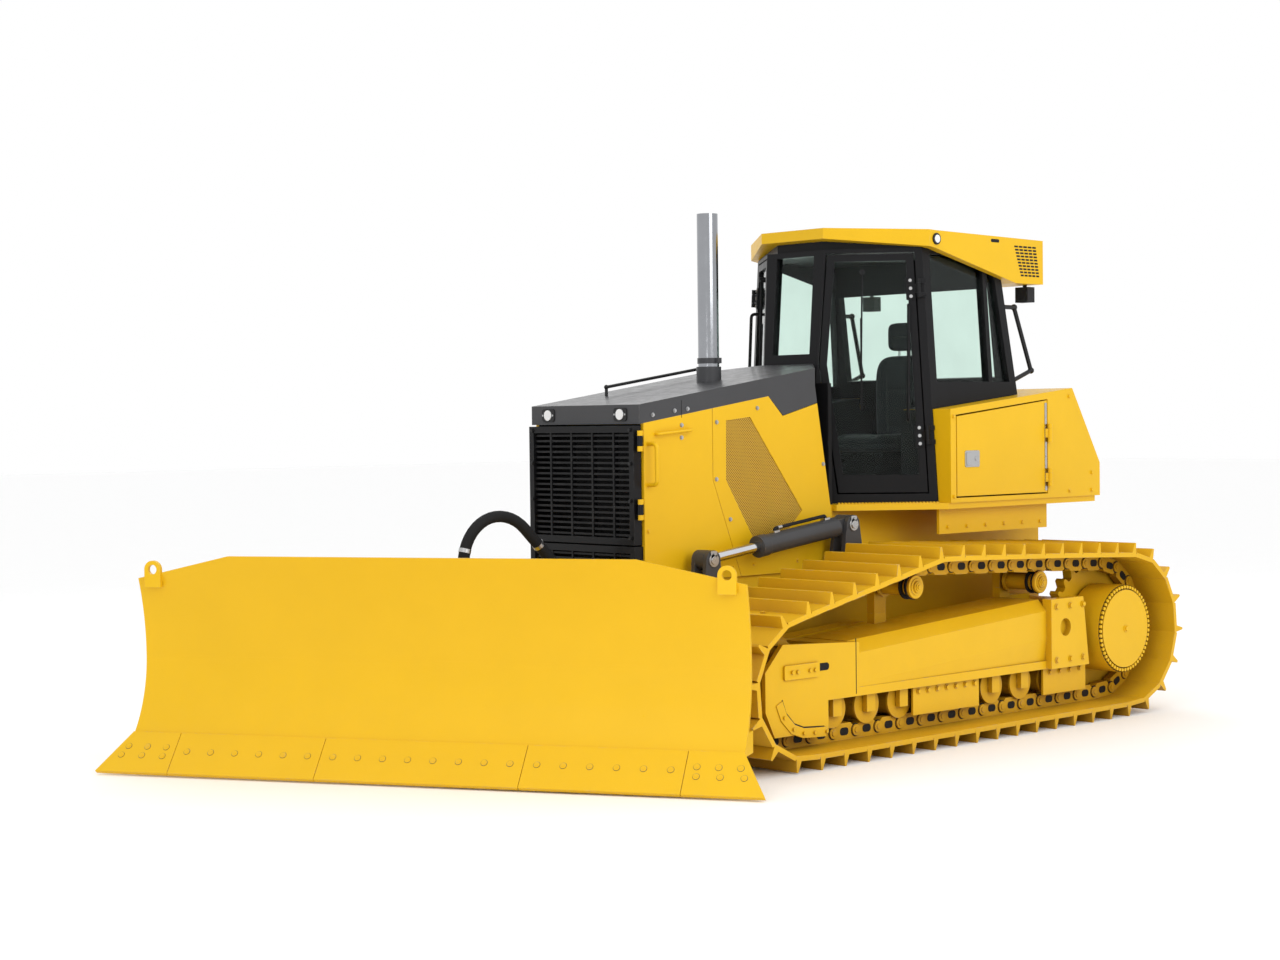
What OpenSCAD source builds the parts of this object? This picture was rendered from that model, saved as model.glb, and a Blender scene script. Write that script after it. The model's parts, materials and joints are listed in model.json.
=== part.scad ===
// Tracked bulldozer with a blade that lifts, angles and tilts, standing with its blade swung to the right.
// Forward is -Y, left is +X and up is +Z. Pieces are laid out from the ground below the middle of the
// tracks, then moved together so that the origin is below the middle of the machine.

/* [Tracks] */
// Distance between the middles of the two tracks
gauge = 2184; // [1900:10:2400]
// Width of a track shoe
shoe_w = 760; // [560:10:860]
// Thickness of a shoe plate
shoe_t = 14; // [8:1:24]
// Height of a grouser above its plate
grouser_h = 65; // [30:1:90]
// Length of a track link that is aimed at
pitch_goal = 203; // [170:1:240]
// Distance between idler and sprocket axles
axle_span = 3280; // [3000:10:3600]
// Radius of the shoe line round the sprocket
sprocket_belt_r = 500; // [440:5:540]
// Radius of the shoe line round the idler
idler_belt_r = 400; // [360:5:440]
// Height of a chain rail
rail_h = 100; // [70:1:120]
// Width of a chain rail
rail_w = 55; // [40:1:70]
// Gap between the two rails of a chain
rail_gap = 110; // [90:1:140]

/* [Undercarriage] */
// Width of a roller frame
frame_w = 430; // [380:5:480]
// Number of bottom rollers on a side
roller_count = 8; // [6:1:8]
// Radius of a bottom roller's tread
roller_r = 95; // [80:1:100]
// Radius of a carrier roller's tread
carrier_r = 56; // [45:1:65]
// Radius of the final drive drum
drum_r = 295; // [260:5:320]
// Number of sprocket teeth
sprocket_teeth = 27; // [21:1:31]

/* [Main frame] */
// Half width of the engine frame
body_half = 459; // [440:1:470]
// Height of the deck where the cab stands
deck_z = 1460; // [1440:5:1500]
// Distance of the drawbar pin behind the middle of the tracks
hitch_y = 2120; // [2080:5:2200]
// Radius of the drawbar pin bore
hitch_bore_r = 25; // [15:1:35]

/* [Hood] */
// Half width of the hood
hood_half = 484; // [475:1:500]
// Height of the hood's top edge at the front
hood_front_z = 2110; // [2050:5:2160]
// Rise of the hood over its length
hood_rise = 227; // [120:1:260]
// Height of the dark band along the hood
hood_band = 115; // [80:1:130]
// Number of grille slats
slat_count = 28; // [12:1:32]
// Radius of the exhaust stack
stack_r = 67; // [50:1:80]
// Height of the top of the exhaust stack
stack_top = 3320; // [3000:10:3500]

/* [Cab] */
// Height of the top of the cab posts
cab_top = 3120; // [3000:10:3200]
// Half width of the cab's front wall at the deck
front_half_low = 210; // [190:1:230]
// Half width of the cab's front wall at the top
front_half_top = 257; // [240:1:280]
// Half width of the cab's sides at the deck
side_half_low = 850; // [820:1:880]
// Half width of the cab's sides at the top
side_half_top = 735; // [700:1:770]
// Thickness of a cab wall
cab_wall = 60; // [45:1:80]
// Thickness of a window pane
pane_t = 8; // [5:1:12]

/* [Blade] */
// Width over the end bits
blade_w = 3990; // [3600:10:4200]
// Height of the blade's middle
blade_h = 1250; // [1100:10:1350]
// Angle that the blade is swung to the right
blade_angle = 29.3; // [25:0.1:29.5]
// Thickness of the moldboard
board_t = 25; // [18:1:35]
// Gap between the cutting edge and the ground
edge_clear = 10; // [5:1:40]

/* [Blade frame] */
// Distance of the blade's king pin in front of the middle of the tracks
pivot_reach = 3080; // [3050:5:3150]
// Height of the blade's pivots
pivot_z = 700; // [680:5:720]
// Width of a push arm
arm_w = 140; // [110:1:150]
// Radius of the trunnion that carries a push arm
trunnion_r = 60; // [45:1:70]

/* [Cylinders] */
// Outer radius of a lift cylinder's barrel
lift_barrel_r = 62; // [50:1:64]
// Radius of a lift cylinder's rod
lift_rod_r = 32; // [24:1:36]
// Outer radius of an angle cylinder's barrel
angle_barrel_r = 56; // [45:1:58]
// Radius of an angle cylinder's rod
angle_rod_r = 30; // [22:1:32]
// Outer radius of the tilt cylinder's barrel
tilt_barrel_r = 50; // [40:1:52]
// Radius of the tilt cylinder's rod
tilt_rod_r = 26; // [18:1:28]

/* [Hidden] */
$fn = 48;

yellow = "#f4c21f";
dark = "#3b3d40";
black = "#1c1d1f";
steel = "#b9bcc0";
clear_glass = "#9fc4bd";

// Overrun of every cut past the face that it opens
over = 5;
// Clearance of a turning pin in its eye
pin_clear = 0.3;
// Clearance of a rod in its barrel
rod_clear = 0.4;
// Space between an eye and the ears beside it
ear_clear = 5;
// Gap left round a door
door_gap = 10;
// Width of a seam between two panels
seam = 4;

// Shared shapes

module both_sides() {
    children();
    mirror([1, 0, 0]) children();
}

// Extrudes a side view, with its points as [y, z], from x0 to x1
module across(x0, x1) {
    translate([x0, 0, 0]) rotate([90, 0, 90]) linear_extrude(x1 - x0) children();
}

// Extrudes a front view, with its points as [x, z], from y0 to y1
module along(y0, y1) {
    translate([0, y1, 0]) rotate([90, 0, 0]) linear_extrude(y1 - y0) children();
}

// Extrudes a plan from z0 to z1
module upward(z0, z1) {
    translate([0, 0, z0]) linear_extrude(z1 - z0) children();
}

module block(low, high) {
    translate(low) cube(high - low);
}

// Round bar along X, at a place given as [y, z]
module bar_x(x0, x1, place, r) {
    translate([x0, place[0], place[1]]) rotate([0, 90, 0]) cylinder(r = r, h = x1 - x0);
}

// Round bar between two points
module rod_between(a, b, r) {
    run = b - a;
    translate(a) rotate([0, acos(run[2] / norm(run)), atan2(run[1], run[0])]) cylinder(r = r, h = norm(run));
}

// Rail of straight tubes that meet in ball fittings
ball_share = 1.5;
tube_start_share = 1.1;
module tube_through(points, r) {
    last = len(points) - 2;
    for (i = [0 : last]) {
        d = unit(points[i + 1] - points[i]) * r * tube_start_share;
        rod_between(points[i] + d * (i > 0 ? 1 : 0), points[i + 1] - d * (i < last ? 1 : 0), r);
    }
    for (i = [1 : last]) translate(points[i]) sphere(r = r * ball_share);
}

// Tracks: the shoe line is the tight belt round sprocket, idler and carrier rollers

web_t = 16;
shoe_gap = 5;
grouser_base = 38;
grouser_tip = 14;
carrier_front_in = 1290;
carrier_rear_in = 710;
carrier_front_z = 970;
carrier_rise = 4;
carrier_slack = 13;
carrier_belt_r = carrier_r + rail_h + web_t + carrier_slack;
track_x = gauge / 2;
belt_floor = shoe_t + grouser_h;
sprocket_y = axle_span / 2;
sprocket_z = belt_floor + sprocket_belt_r;
idler_y = -axle_span / 2;
idler_z = belt_floor + idler_belt_r;
carrier_front_y = idler_y + carrier_front_in;
carrier_rear_y = sprocket_y - carrier_rear_in;
drive_wheel = [sprocket_y, sprocket_z, sprocket_belt_r];
front_wheel = [carrier_front_y, carrier_front_z, carrier_belt_r];
// The rear carrier roller stands a little above the front one's run to the sprocket
carrier_rear_z = carrier_front_z + carrier_rise
    - (carrier_rear_y - carrier_front_y) / tan(run_normal(front_wheel, drive_wheel));
carrier_places = [[carrier_front_y, carrier_front_z], [carrier_rear_y, carrier_rear_z]];
belt_wheels = [drive_wheel, [idler_y, idler_z, idler_belt_r], front_wheel,
    [carrier_rear_y, carrier_rear_z, carrier_belt_r]];
arc_steps = 24;
function wheel_at(k) = belt_wheels[(k + len(belt_wheels)) % len(belt_wheels)];
function span_of(a, b) = norm([b[0] - a[0], b[1] - a[1]]);
// Direction of the outward normal of the run from wheel a to wheel b
function run_normal(a, b) = atan2(b[1] - a[1], b[0] - a[0]) + acos((a[2] - b[2]) / span_of(a, b));
function turn_of(k) =
    let (t = run_normal(wheel_at(k - 1), wheel_at(k)) - run_normal(wheel_at(k), wheel_at(k + 1)))
    t - 360 * floor(t / 360);
belt_line = [for (k = [0 : len(belt_wheels) - 1]) for (i = [0 : arc_steps])
    let (w = wheel_at(k), a = run_normal(wheel_at(k - 1), w) - turn_of(k) * i / arc_steps)
    [w[0] + w[2] * cos(a), w[1] + w[2] * sin(a)]];
belt_count = len(belt_line);
belt_way = [for (i = 0, s = 0; i <= belt_count;
    s = s + norm(belt_line[(i + 1) % belt_count] - belt_line[i % belt_count]), i = i + 1) s];
belt_length = belt_way[belt_count];
belt_ys = [for (i = [0 : belt_count]) [belt_way[i], belt_line[i % belt_count][0]]];
belt_zs = [for (i = [0 : belt_count]) [belt_way[i], belt_line[i % belt_count][1]]];
shoe_count = round(belt_length / pitch_goal);
pitch = belt_length / shoe_count;
function pin_at(i) =
    let (s = pitch * (i - shoe_count * floor(i / shoe_count)))
    [lookup(s, belt_ys), lookup(s, belt_zs)];
function link_run(i) = let (v = pin_at(i + 1) - pin_at(i)) v / norm(v);
function link_out(i) = let (d = link_run(i)) [-d[1], d[0]];
function pin_out(i) = let (v = link_out(i) + link_out(i - 1)) v / norm(v);
function shoe_outline(i) =
    let (a = pin_at(i), b = pin_at(i + 1), d = link_run(i), n = link_out(i))
    [a, a + d * shoe_gap + n * shoe_t, b - d * (shoe_gap + grouser_base) + n * shoe_t,
        b - d * (shoe_gap + grouser_tip) + n * (shoe_t + grouser_h),
        b - d * shoe_gap + n * (shoe_t + grouser_h)];
shoe_line = [for (i = [0 : shoe_count - 1]) each shoe_outline(i)];
web_line = [for (i = [0 : shoe_count - 1]) pin_at(i) - pin_out(i) * web_t];
link_notch_share = 0.6;
link_flat_share = 0.22;
function link_outline(i) =
    let (a = pin_at(i), b = pin_at(i + 1), n = link_out(i), low = web_t + rail_h)
    [a - pin_out(i) * (web_t + rail_h * link_notch_share),
        a + (b - a) * link_flat_share - n * low, b - (b - a) * link_flat_share - n * low];
rail_line = [for (i = [0 : shoe_count - 1]) each link_outline(i)];

// Closed band between an outer and an inner line
module band(outer, inner) {
    polygon(concat(outer, inner), [[for (i = [0 : len(outer) - 1]) i],
        [for (i = [0 : len(inner) - 1]) len(outer) + i]]);
}

module track() {
    color(yellow) across(track_x - shoe_w / 2, track_x + shoe_w / 2) band(shoe_line, web_line);
}

module track_chains() {
    color(yellow) both_sides() for (side = [-1, 1])
        translate([track_x + side * (rail_gap + rail_w) / 2, 0, 0])
        across(-rail_w / 2, rail_w / 2) band(web_line, rail_line);
}

// Bottom rollers hang in blocks under the roller frame

roller_z = belt_floor + web_t + rail_h + roller_r + pin_clear;
roller_front_in = 510;
roller_rear_in = 635;
roller_space = 10;
tread_slack = 4;
roller_flange_h = 17;
roller_flange_w = 16;
roller_shaft_r = 38;
block_w = 32;
block_len = 76;
roller_tread_half = rail_gap / 2 + rail_w + tread_slack;
roller_half = roller_tread_half + roller_flange_w;
block_in = roller_half + ear_clear;
roller_first_y = idler_y + roller_front_in;
roller_last_y = sprocket_y - roller_rear_in;
frame_low = roller_z + roller_r + roller_flange_h + roller_space;
function roller_y(i) = roller_first_y + (roller_last_y - roller_first_y) * i / (roller_count - 1);

module roller(r) {
    bar_x(-roller_half, roller_half, [0, 0], r);
    for (side = [-1, 1])
        translate([side * (roller_tread_half + roller_flange_w / 2), 0, 0])
        bar_x(-roller_flange_w / 2, roller_flange_w / 2, [0, 0], r + roller_flange_h);
}

module bottom_rollers() {
    color(yellow) both_sides() for (i = [0 : roller_count - 1])
        translate([track_x, roller_y(i), roller_z]) {
            roller(roller_r);
            bar_x(-block_in, block_in, [0, 0], roller_shaft_r);
        }
}

// Roller frame: a box beam with idler plates and the drive plate

beam_front_in = 625;
beam_rear_in = 760;
beam_front_y = idler_y + beam_front_in;
beam_rear_y = sprocket_y - beam_rear_in;
lip_h = 47;
lip_low = frame_low - lip_h;
beam_front_z = 690;
beam_rise = 125;
beam_chamfer = 70;
beam_fold = 250;
beam_tuck = 25;
beam_deep = 480;
plate_t = 30;
idler_plate_top = 720;
idler_plate_low = 190;
idler_front_out = 160;
idler_rear_in = 375;
idler_plate_front = idler_y - idler_front_out;
idler_plate_rear = idler_y + idler_rear_in;
idler_nose = 150;
cross_plate_len = 170;
drive_plate_out = 40;
drive_plate_top = 820;
drive_plate_in = 350;
drive_plate_rear = sprocket_y - drive_plate_in;
drive_plate_toe = 60;
drive_hole_r = 58;
drive_hole_in = 610;
drive_hole_y = sprocket_y - drive_hole_in;
drive_hole_z = 630;
guard_t = 15;
guard_low = 190;
guard_front_y = -450;
guard_rear_y = 200;
rear_guard_len = 470;
rear_floor_len = 270;
saddle_w = 75;
saddle_h = 95;
saddle_len = 170;
pad_h = 60;
carrier_post_w = 60;
carrier_post_len = 110;
frame_in = track_x - frame_w / 2;
frame_out = track_x + frame_w / 2;
beam_slope = atan(beam_rise / (beam_rear_y - beam_front_y));
function beam_top(y) = beam_front_z + (y - beam_front_y) * tan(beam_slope);
carrier_post_x = track_x - roller_half - carrier_post_w;
carrier_pad_z = [beam_top(carrier_front_y) + pad_h, beam_top(carrier_rear_y) + pad_h];

module beam() {
    difference() {
        translate([0, beam_front_y, beam_front_z]) rotate([beam_slope, 0, 0])
            along(0, (beam_rear_y - beam_front_y) / cos(beam_slope))
            polygon([[frame_in, -beam_deep], [frame_in, 0], [frame_out - beam_chamfer, 0],
                [frame_out, -beam_chamfer], [frame_out, -beam_fold], [frame_out - beam_tuck, -beam_deep]]);
        block([frame_in - over, beam_front_y - beam_deep, frame_low - beam_deep],
            [frame_out + over, beam_rear_y + beam_deep, frame_low]);
    }
}

module idler_plate() {
    polygon([[beam_front_y + plate_t, lip_low], [beam_front_y + plate_t, beam_front_z - seam],
        [idler_plate_front + idler_nose, idler_plate_top],
        [idler_plate_front, idler_plate_top - idler_nose], [idler_plate_front, idler_plate_low + idler_nose],
        [idler_plate_front + idler_nose / 2, idler_plate_low], [idler_plate_rear, idler_plate_low],
        [idler_plate_rear, lip_low]]);
}

module drive_plate() {
    polygon([[beam_rear_y - over, lip_low], [beam_rear_y - over, drive_plate_top],
        [drive_plate_rear - drive_plate_toe, drive_plate_top], [drive_plate_rear, lip_low]]);
}

module roller_guard(y0, y1) {
    across(track_x + block_in + block_w, track_x + block_in + block_w + guard_t)
        polygon([[y0, guard_low], [y0, frame_low + over], [y1, frame_low + over], [y1, guard_low]]);
}

module track_frame() {
    color(yellow) {
        beam();
        for (x = [frame_in, frame_out - plate_t]) {
            across(x, x + plate_t) idler_plate();
            block([x, beam_front_y - over, lip_low], [x + plate_t, beam_rear_y, frame_low + over]);
        }
        block([frame_in, beam_front_y - cross_plate_len, beam_front_z - plate_t],
            [frame_out, beam_front_y + plate_t, beam_front_z - seam]);
        difference() {
            across(frame_out - plate_t, frame_out + drive_plate_out) drive_plate();
            bar_x(frame_out, frame_out + drive_plate_out + over, [drive_hole_y, drive_hole_z], drive_hole_r);
        }
        across(frame_in, frame_in + plate_t) drive_plate();
        for (i = [0 : roller_count - 1]) for (side = [-1, 1])
            translate([track_x + side * (block_in + block_w / 2), roller_y(i), 0])
            block([-block_w / 2, -block_len / 2, roller_z - block_len / 2],
                [block_w / 2, block_len / 2, frame_low + over]);
        block([frame_in, roller_first_y - block_len, frame_low],
            [frame_out, beam_front_y + over, frame_low + plate_t]);
        roller_guard(guard_front_y, guard_rear_y);
        roller_guard(beam_rear_y, beam_rear_y + rear_guard_len);
        block([frame_in, beam_rear_y - over, frame_low],
            [frame_out, beam_rear_y + rear_floor_len, frame_low + plate_t]);
        block([frame_in - saddle_w, bar_y - saddle_len / 2, bar_top],
            [frame_in, bar_y + saddle_len / 2, bar_top + saddle_h]);
        for (i = [0, 1])
            translate([carrier_post_x, carrier_places[i][0], 0])
            block([-carrier_post_w / 2, -carrier_post_len / 2, frame_low + beam_fold],
                [carrier_post_w / 2, carrier_post_len / 2, carrier_pad_z[i]]);
    }
}

module carrier_rollers() {
    color(yellow) both_sides() for (i = [0, 1])
        translate([track_x, carrier_places[i][0], carrier_places[i][1]]) {
            roller(carrier_r);
            bar_x(carrier_post_x - track_x, roller_half + roller_flange_w, [0, 0], roller_shaft_r);
            translate([carrier_post_x - track_x, 0, 0])
                block([-carrier_post_w / 2, -carrier_post_len / 2, carrier_pad_z[i] - carrier_places[i][1]],
                    [carrier_post_w / 2, carrier_post_len / 2, carrier_post_len / 2]);
        }
}

rail_play = 2;
idler_r = sqrt(pow(idler_belt_r, 2) - pow(pitch / 2, 2)) - web_t - rail_h - rail_play;
idler_axle_r = 55;
idler_hub_r = 130;
idler_dish = 24;
idler_flange_h = 40;

module idlers() {
    color(yellow) both_sides() translate([track_x, idler_y, idler_z]) {
        difference() {
            union() {
                bar_x(-roller_half, roller_half, [0, 0], idler_r);
                bar_x(-rail_gap / 2 + seam, rail_gap / 2 - seam, [0, 0], idler_r + idler_flange_h);
            }
            for (side = [0, 1]) mirror([side, 0, 0]) difference() {
                bar_x(roller_half - idler_dish, roller_half + over, [0, 0], idler_r - idler_flange_h);
                bar_x(roller_half - idler_dish - over, roller_half + over, [0, 0], idler_hub_r);
            }
        }
        bar_x(-frame_w / 2 + plate_t, frame_w / 2 - plate_t, [0, 0], idler_axle_r);
    }
}

tooth_h = 46;
tooth_tip_share = 0.22;
tooth_root_share = 0.3;
sprocket_t = 70;
sprocket_r = sprocket_belt_r - web_t - rail_h / 2;
drum_in = 60;
drum_out = 305;
cover_t = 14;
cover_edge = 34;
neck_r = 200;
axle_case_r = 185;

module sprocket_teeth_plan() {
    step = 360 / sprocket_teeth;
    polygon([for (i = [0 : sprocket_teeth - 1]) for (p = [[-tooth_root_share, 0], [-tooth_tip_share / 2, 1],
            [tooth_tip_share / 2, 1], [tooth_root_share, 0]])
        let (a = step * (i + p[0]), r = sprocket_r - tooth_h / 2 + tooth_h * p[1]) [r * cos(a), r * sin(a)]]);
}

module final_drives() {
    color(yellow) both_sides() translate([track_x, sprocket_y, sprocket_z]) {
        across(-sprocket_t / 2, sprocket_t / 2) sprocket_teeth_plan();
        bar_x(sprocket_t / 2, drum_in, [0, 0], neck_r);
        bar_x(drum_in, drum_out - cover_t, [0, 0], drum_r);
        bar_x(drum_out - cover_t, drum_out, [0, 0], drum_r - cover_edge);
        bar_x(body_half - track_x, -sprocket_t / 2, [0, 0], axle_case_r);
    }
}

// Main frame and what carries the track frames

frame_front_y = -1850;
frame_rear_y = 1950;
frame_floor = 480;
engine_deck = 1100;
deck_t = 40;
deck_low = deck_z - deck_t;
deck_front_y = -260;
chin = 140;
tail_rise = 220;
tail_len = 300;
arm_in = 530;
trunnion_y = -200;
trunnion_z = 600;
cap_t = 18;
cap_r = 85;
arm_out = arm_in + arm_w;

module main_frame() {
    color(yellow) {
        across(-body_half, body_half)
            polygon([[frame_front_y, frame_floor + chin], [frame_front_y, engine_deck],
                [deck_front_y, engine_deck], [deck_front_y, deck_low], [frame_rear_y, deck_low],
                [frame_rear_y, frame_floor + tail_rise], [frame_rear_y - tail_len, frame_floor],
                [frame_front_y + chin, frame_floor]]);
        both_sides() {
            bar_x(body_half - over, arm_out + pin_clear + ear_clear, [trunnion_y, trunnion_z], trunnion_r);
            bar_x(arm_out + ear_clear, arm_out + ear_clear + cap_t, [trunnion_y, trunnion_z], cap_r);
        }
    }
}

hitch_plate_t = 40;
hitch_plate_w = 400;
hitch_plate_low = 720;
hitch_plate_h = 260;
hitch_jaw_w = 180;
hitch_jaw_t = 40;
hitch_jaw_gap = 90;
hitch_nose_r = 70;
hitch_mid_z = hitch_plate_low + hitch_plate_h / 2;

module drawbar() {
    color(dark) difference() {
        union() {
            block([-hitch_plate_w / 2, frame_rear_y, hitch_plate_low],
                [hitch_plate_w / 2, frame_rear_y + hitch_plate_t, hitch_plate_low + hitch_plate_h]);
            for (side = [-1, 1])
                translate([0, 0, hitch_mid_z + side * (hitch_jaw_gap + hitch_jaw_t) / 2 - hitch_jaw_t / 2]) {
                    block([-hitch_nose_r, frame_rear_y, 0], [hitch_nose_r, hitch_y, hitch_jaw_t]);
                    translate([0, hitch_y, 0]) cylinder(r = hitch_nose_r, h = hitch_jaw_t);
                }
        }
        translate([0, hitch_y, hitch_plate_low]) cylinder(r = hitch_bore_r, h = hitch_plate_h);
    }
}

shaft_in = 560;
shaft_y = sprocket_y - shaft_in;
shaft_z = 560;
shaft_r = 70;

module cross_shaft() {
    color(dark) both_sides() bar_x(body_half, frame_in, [shaft_y, shaft_z], shaft_r);
}

bar_y = -450;
bar_top = 370;
bar_h = 80;
bar_len = 140;
bar_pad_w = 240;

module equalizer_bar() {
    color(dark) {
        block([-frame_in, bar_y - bar_len / 2, bar_top - bar_h], [frame_in, bar_y + bar_len / 2, bar_top]);
        block([-bar_pad_w / 2, bar_y - bar_len / 2, bar_top - over],
            [bar_pad_w / 2, bar_y + bar_len / 2, frame_floor]);
    }
}

engine_half = 330;
engine_front_y = -1560;
engine_rear_y = -420;
engine_top = 1940;

module engine_block() {
    color(dark) block([-engine_half, engine_front_y, engine_deck], [engine_half, engine_rear_y, engine_top]);
}

radiator_half = 440;
radiator_y = -1830;
radiator_t = 110;
radiator_top = 1990;

module radiator() {
    color(black) block([-radiator_half, radiator_y, engine_deck],
        [radiator_half, radiator_y + radiator_t, radiator_top]);
}

// Hood: dark top over yellow side panels, with a grille door in front

hood_front_y = -1985;
hood_rear_y = -440;
cowl_half = 240;
sheet_t = 25;
panel_front_y = -1950;
panel_low = 1050;
stack_y = -950;
stack_x = 40;
stack_wall = 5;
collar_h = 90;
collar_edge = 12;
cowl_front_y = -870;
cowl_low_y = -740;
cowl_low_drop = 140;
cowl_rear_drop = 105;
function hood_z(y) = hood_front_z + hood_rise * (y - hood_front_y) / (hood_rear_y - hood_front_y);

function band_low(y) = hood_z(y) - hood_band;
function panel_rear_y(z) = panel_rear_top_y + (panel_rear_low_y - panel_rear_top_y)
    * (band_low(panel_rear_top_y) - z) / (band_low(panel_rear_top_y) - panel_low);
// Edge of the dark corner below the band, moved outward by a gap
function cowl_edge(gap) =
    let (z = band_low(cowl_low_y) - cowl_low_drop - gap,
        rear_z = band_low(panel_rear_top_y) - cowl_rear_drop - gap)
    [[cowl_front_y - gap, band_low(cowl_front_y - gap) - (gap > 0 ? pin_clear : 0)], [cowl_low_y - gap, z],
        [panel_rear_y(rear_z), rear_z]];

module hood_section(drop, inset) {
    intersection() {
        across(-hood_half + inset, hood_half - inset)
            polygon([[hood_front_y + inset, hood_front_z - hood_band - drop],
                [hood_front_y + inset, hood_z(hood_front_y + inset) - drop],
                [cowl_y - inset, hood_z(cowl_y - inset) - drop],
                [cowl_y - inset, hood_z(cowl_y - inset) - hood_band - drop]]);
        upward(hood_front_z - hood_band - drop - over, hood_z(cowl_y) + over)
            polygon([[-hood_half + inset, hood_front_y], [hood_half - inset, hood_front_y],
                [hood_half - inset, hood_rear_y], [cowl_half - inset, cowl_y], [-cowl_half + inset, cowl_y],
                [-hood_half + inset, hood_rear_y]]);
    }
}

module hood_top() {
    color(dark) difference() {
        union() {
            difference() {
                hood_section(0, 0);
                hood_section(sheet_t, sheet_t);
            }
            both_sides() across(hood_half - sheet_t, hood_half) polygon([
                [cowl_front_y, band_low(cowl_front_y) + over], each cowl_edge(0),
                [panel_rear_top_y, band_low(panel_rear_top_y) + over]]);
            translate([stack_x, stack_y, hood_z(stack_y) - sheet_t])
                cylinder(r = stack_r + collar_edge, h = sheet_t + collar_h);
        }
        translate([stack_x, stack_y, hood_z(stack_y) - hood_band])
            cylinder(r = stack_r, h = hood_band + collar_h + over);
    }
}

module exhaust_stack() {
    color(steel) translate([stack_x, stack_y, hood_z(stack_y) - sheet_t]) difference() {
        cylinder(r = stack_r - pin_clear, h = stack_top - hood_z(stack_y) + sheet_t);
        translate([0, 0, hood_band]) cylinder(r = stack_r - stack_wall, h = stack_top);
    }
}

lamp_x = 324;
lamp_r = 32;
lamp_out = 12;

module hood_lamps() {
    color(steel) both_sides() translate([lamp_x, hood_front_y, hood_front_z - hood_band / 2])
        rotate([90, 0, 0]) cylinder(r = lamp_r, h = lamp_out);
}

hood_rail_x = -260;
hood_rail_front_y = -1560;
hood_rail_rear_y = -640;
hood_rail_h = 55;
hood_rail_r = 10;

module hood_rail() {
    color(black) {
        difference() {
            tube_through([[hood_rail_x, hood_rail_front_y, hood_z(hood_rail_front_y) - sheet_t],
                [hood_rail_x, hood_rail_front_y, hood_z(hood_rail_front_y) + hood_rail_h],
                [hood_rail_x, hood_rail_rear_y, hood_z(hood_rail_rear_y) + hood_rail_h],
                [hood_rail_x, hood_rail_rear_y, hood_z(hood_rail_rear_y) - sheet_t]], hood_rail_r);
            hood_section(0, 0);
        }
    }
}

split_y = -1370;
split_z = 1650;
split_low_y = -1130;
panel_rear_top_y = -440;
panel_rear_low_y = -230;
mesh_deep = 10;
mesh_points = [[-1253, 2010], [-1040, 2030], [-570, 1437], [-760, 1250], [-1030, 1290], [-1259, 1646]];

// Hinge of two lugs on a pin and a knuckle between them, its axis along local Z
hinge_r = 16;
hinge_pin_r = 8;
hinge_lug_h = 30;
hinge_knuckle_h = 60;
hinge_play = 1;
hinge_arm_half = 6;

// Lugs and pin of a hinge, with an arm to its fixing point [x, y]
module hinge_pin(arm) {
    half = hinge_knuckle_h / 2 + hinge_play;
    translate([0, 0, -half - hinge_lug_h]) cylinder(r = hinge_pin_r, h = 2 * (half + hinge_lug_h));
    for (side = [0, 1]) mirror([0, 0, side]) translate([0, 0, half]) {
        cylinder(r = hinge_r, h = hinge_lug_h);
        hinge_arm(arm, hinge_lug_h);
    }
}

// Knuckle of a hinge, with an arm to the point [x, y] where it is fixed
module hinge_knuckle(arm) {
    translate([0, 0, -hinge_knuckle_h / 2]) difference() {
        union() {
            cylinder(r = hinge_r, h = hinge_knuckle_h);
            hinge_arm(arm, hinge_knuckle_h);
        }
        translate([0, 0, -over]) cylinder(r = hinge_pin_r + pin_clear, h = hinge_knuckle_h + 2 * over);
    }
}

module hinge_arm(arm, h) {
    rotate([0, 0, atan2(arm[1], arm[0])])
        block([(hinge_pin_r + hinge_r) / 2, -hinge_arm_half, 0], [norm(arm), hinge_arm_half, h]);
}

grille_half = 470;
grille_y = -2020;
grille_t = 60;
grille_low = 1070;
grille_top = hood_front_z - hood_band - door_gap;
grille_border = 40;
slat_h = 12;
slat_t = 30;
upright_w = 14;
upright_count = 4;
grille_hinge_x = 505;
grille_hinge_y = -2000;
grille_hinge_zs = [1490, 1895];
grille_split = 1280;

module hood_side() {
    color(yellow) {
        across(hood_half - sheet_t, hood_half)
            polygon([[panel_front_y, panel_low], [panel_front_y, band_low(panel_front_y) - pin_clear],
                [split_y - seam, band_low(split_y - seam) - pin_clear], [split_y - seam, split_z],
                [split_low_y - seam, panel_low]]);
        difference() {
            across(hood_half - sheet_t, hood_half)
                polygon([[split_y, split_z], [split_y, band_low(split_y) - pin_clear], each cowl_edge(seam),
                    [panel_rear_low_y, panel_low], [split_low_y, panel_low]]);
            across(hood_half - mesh_deep, hood_half + over) polygon(mesh_points);
        }
    }
}

module hood_side_left() {
    hood_side();
    color(yellow) for (z = grille_hinge_zs)
        translate([grille_hinge_x, grille_hinge_y, z])
        hinge_pin([hood_half - sheet_t / 2 - grille_hinge_x, panel_front_y - grille_hinge_y + over]);
}

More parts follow.
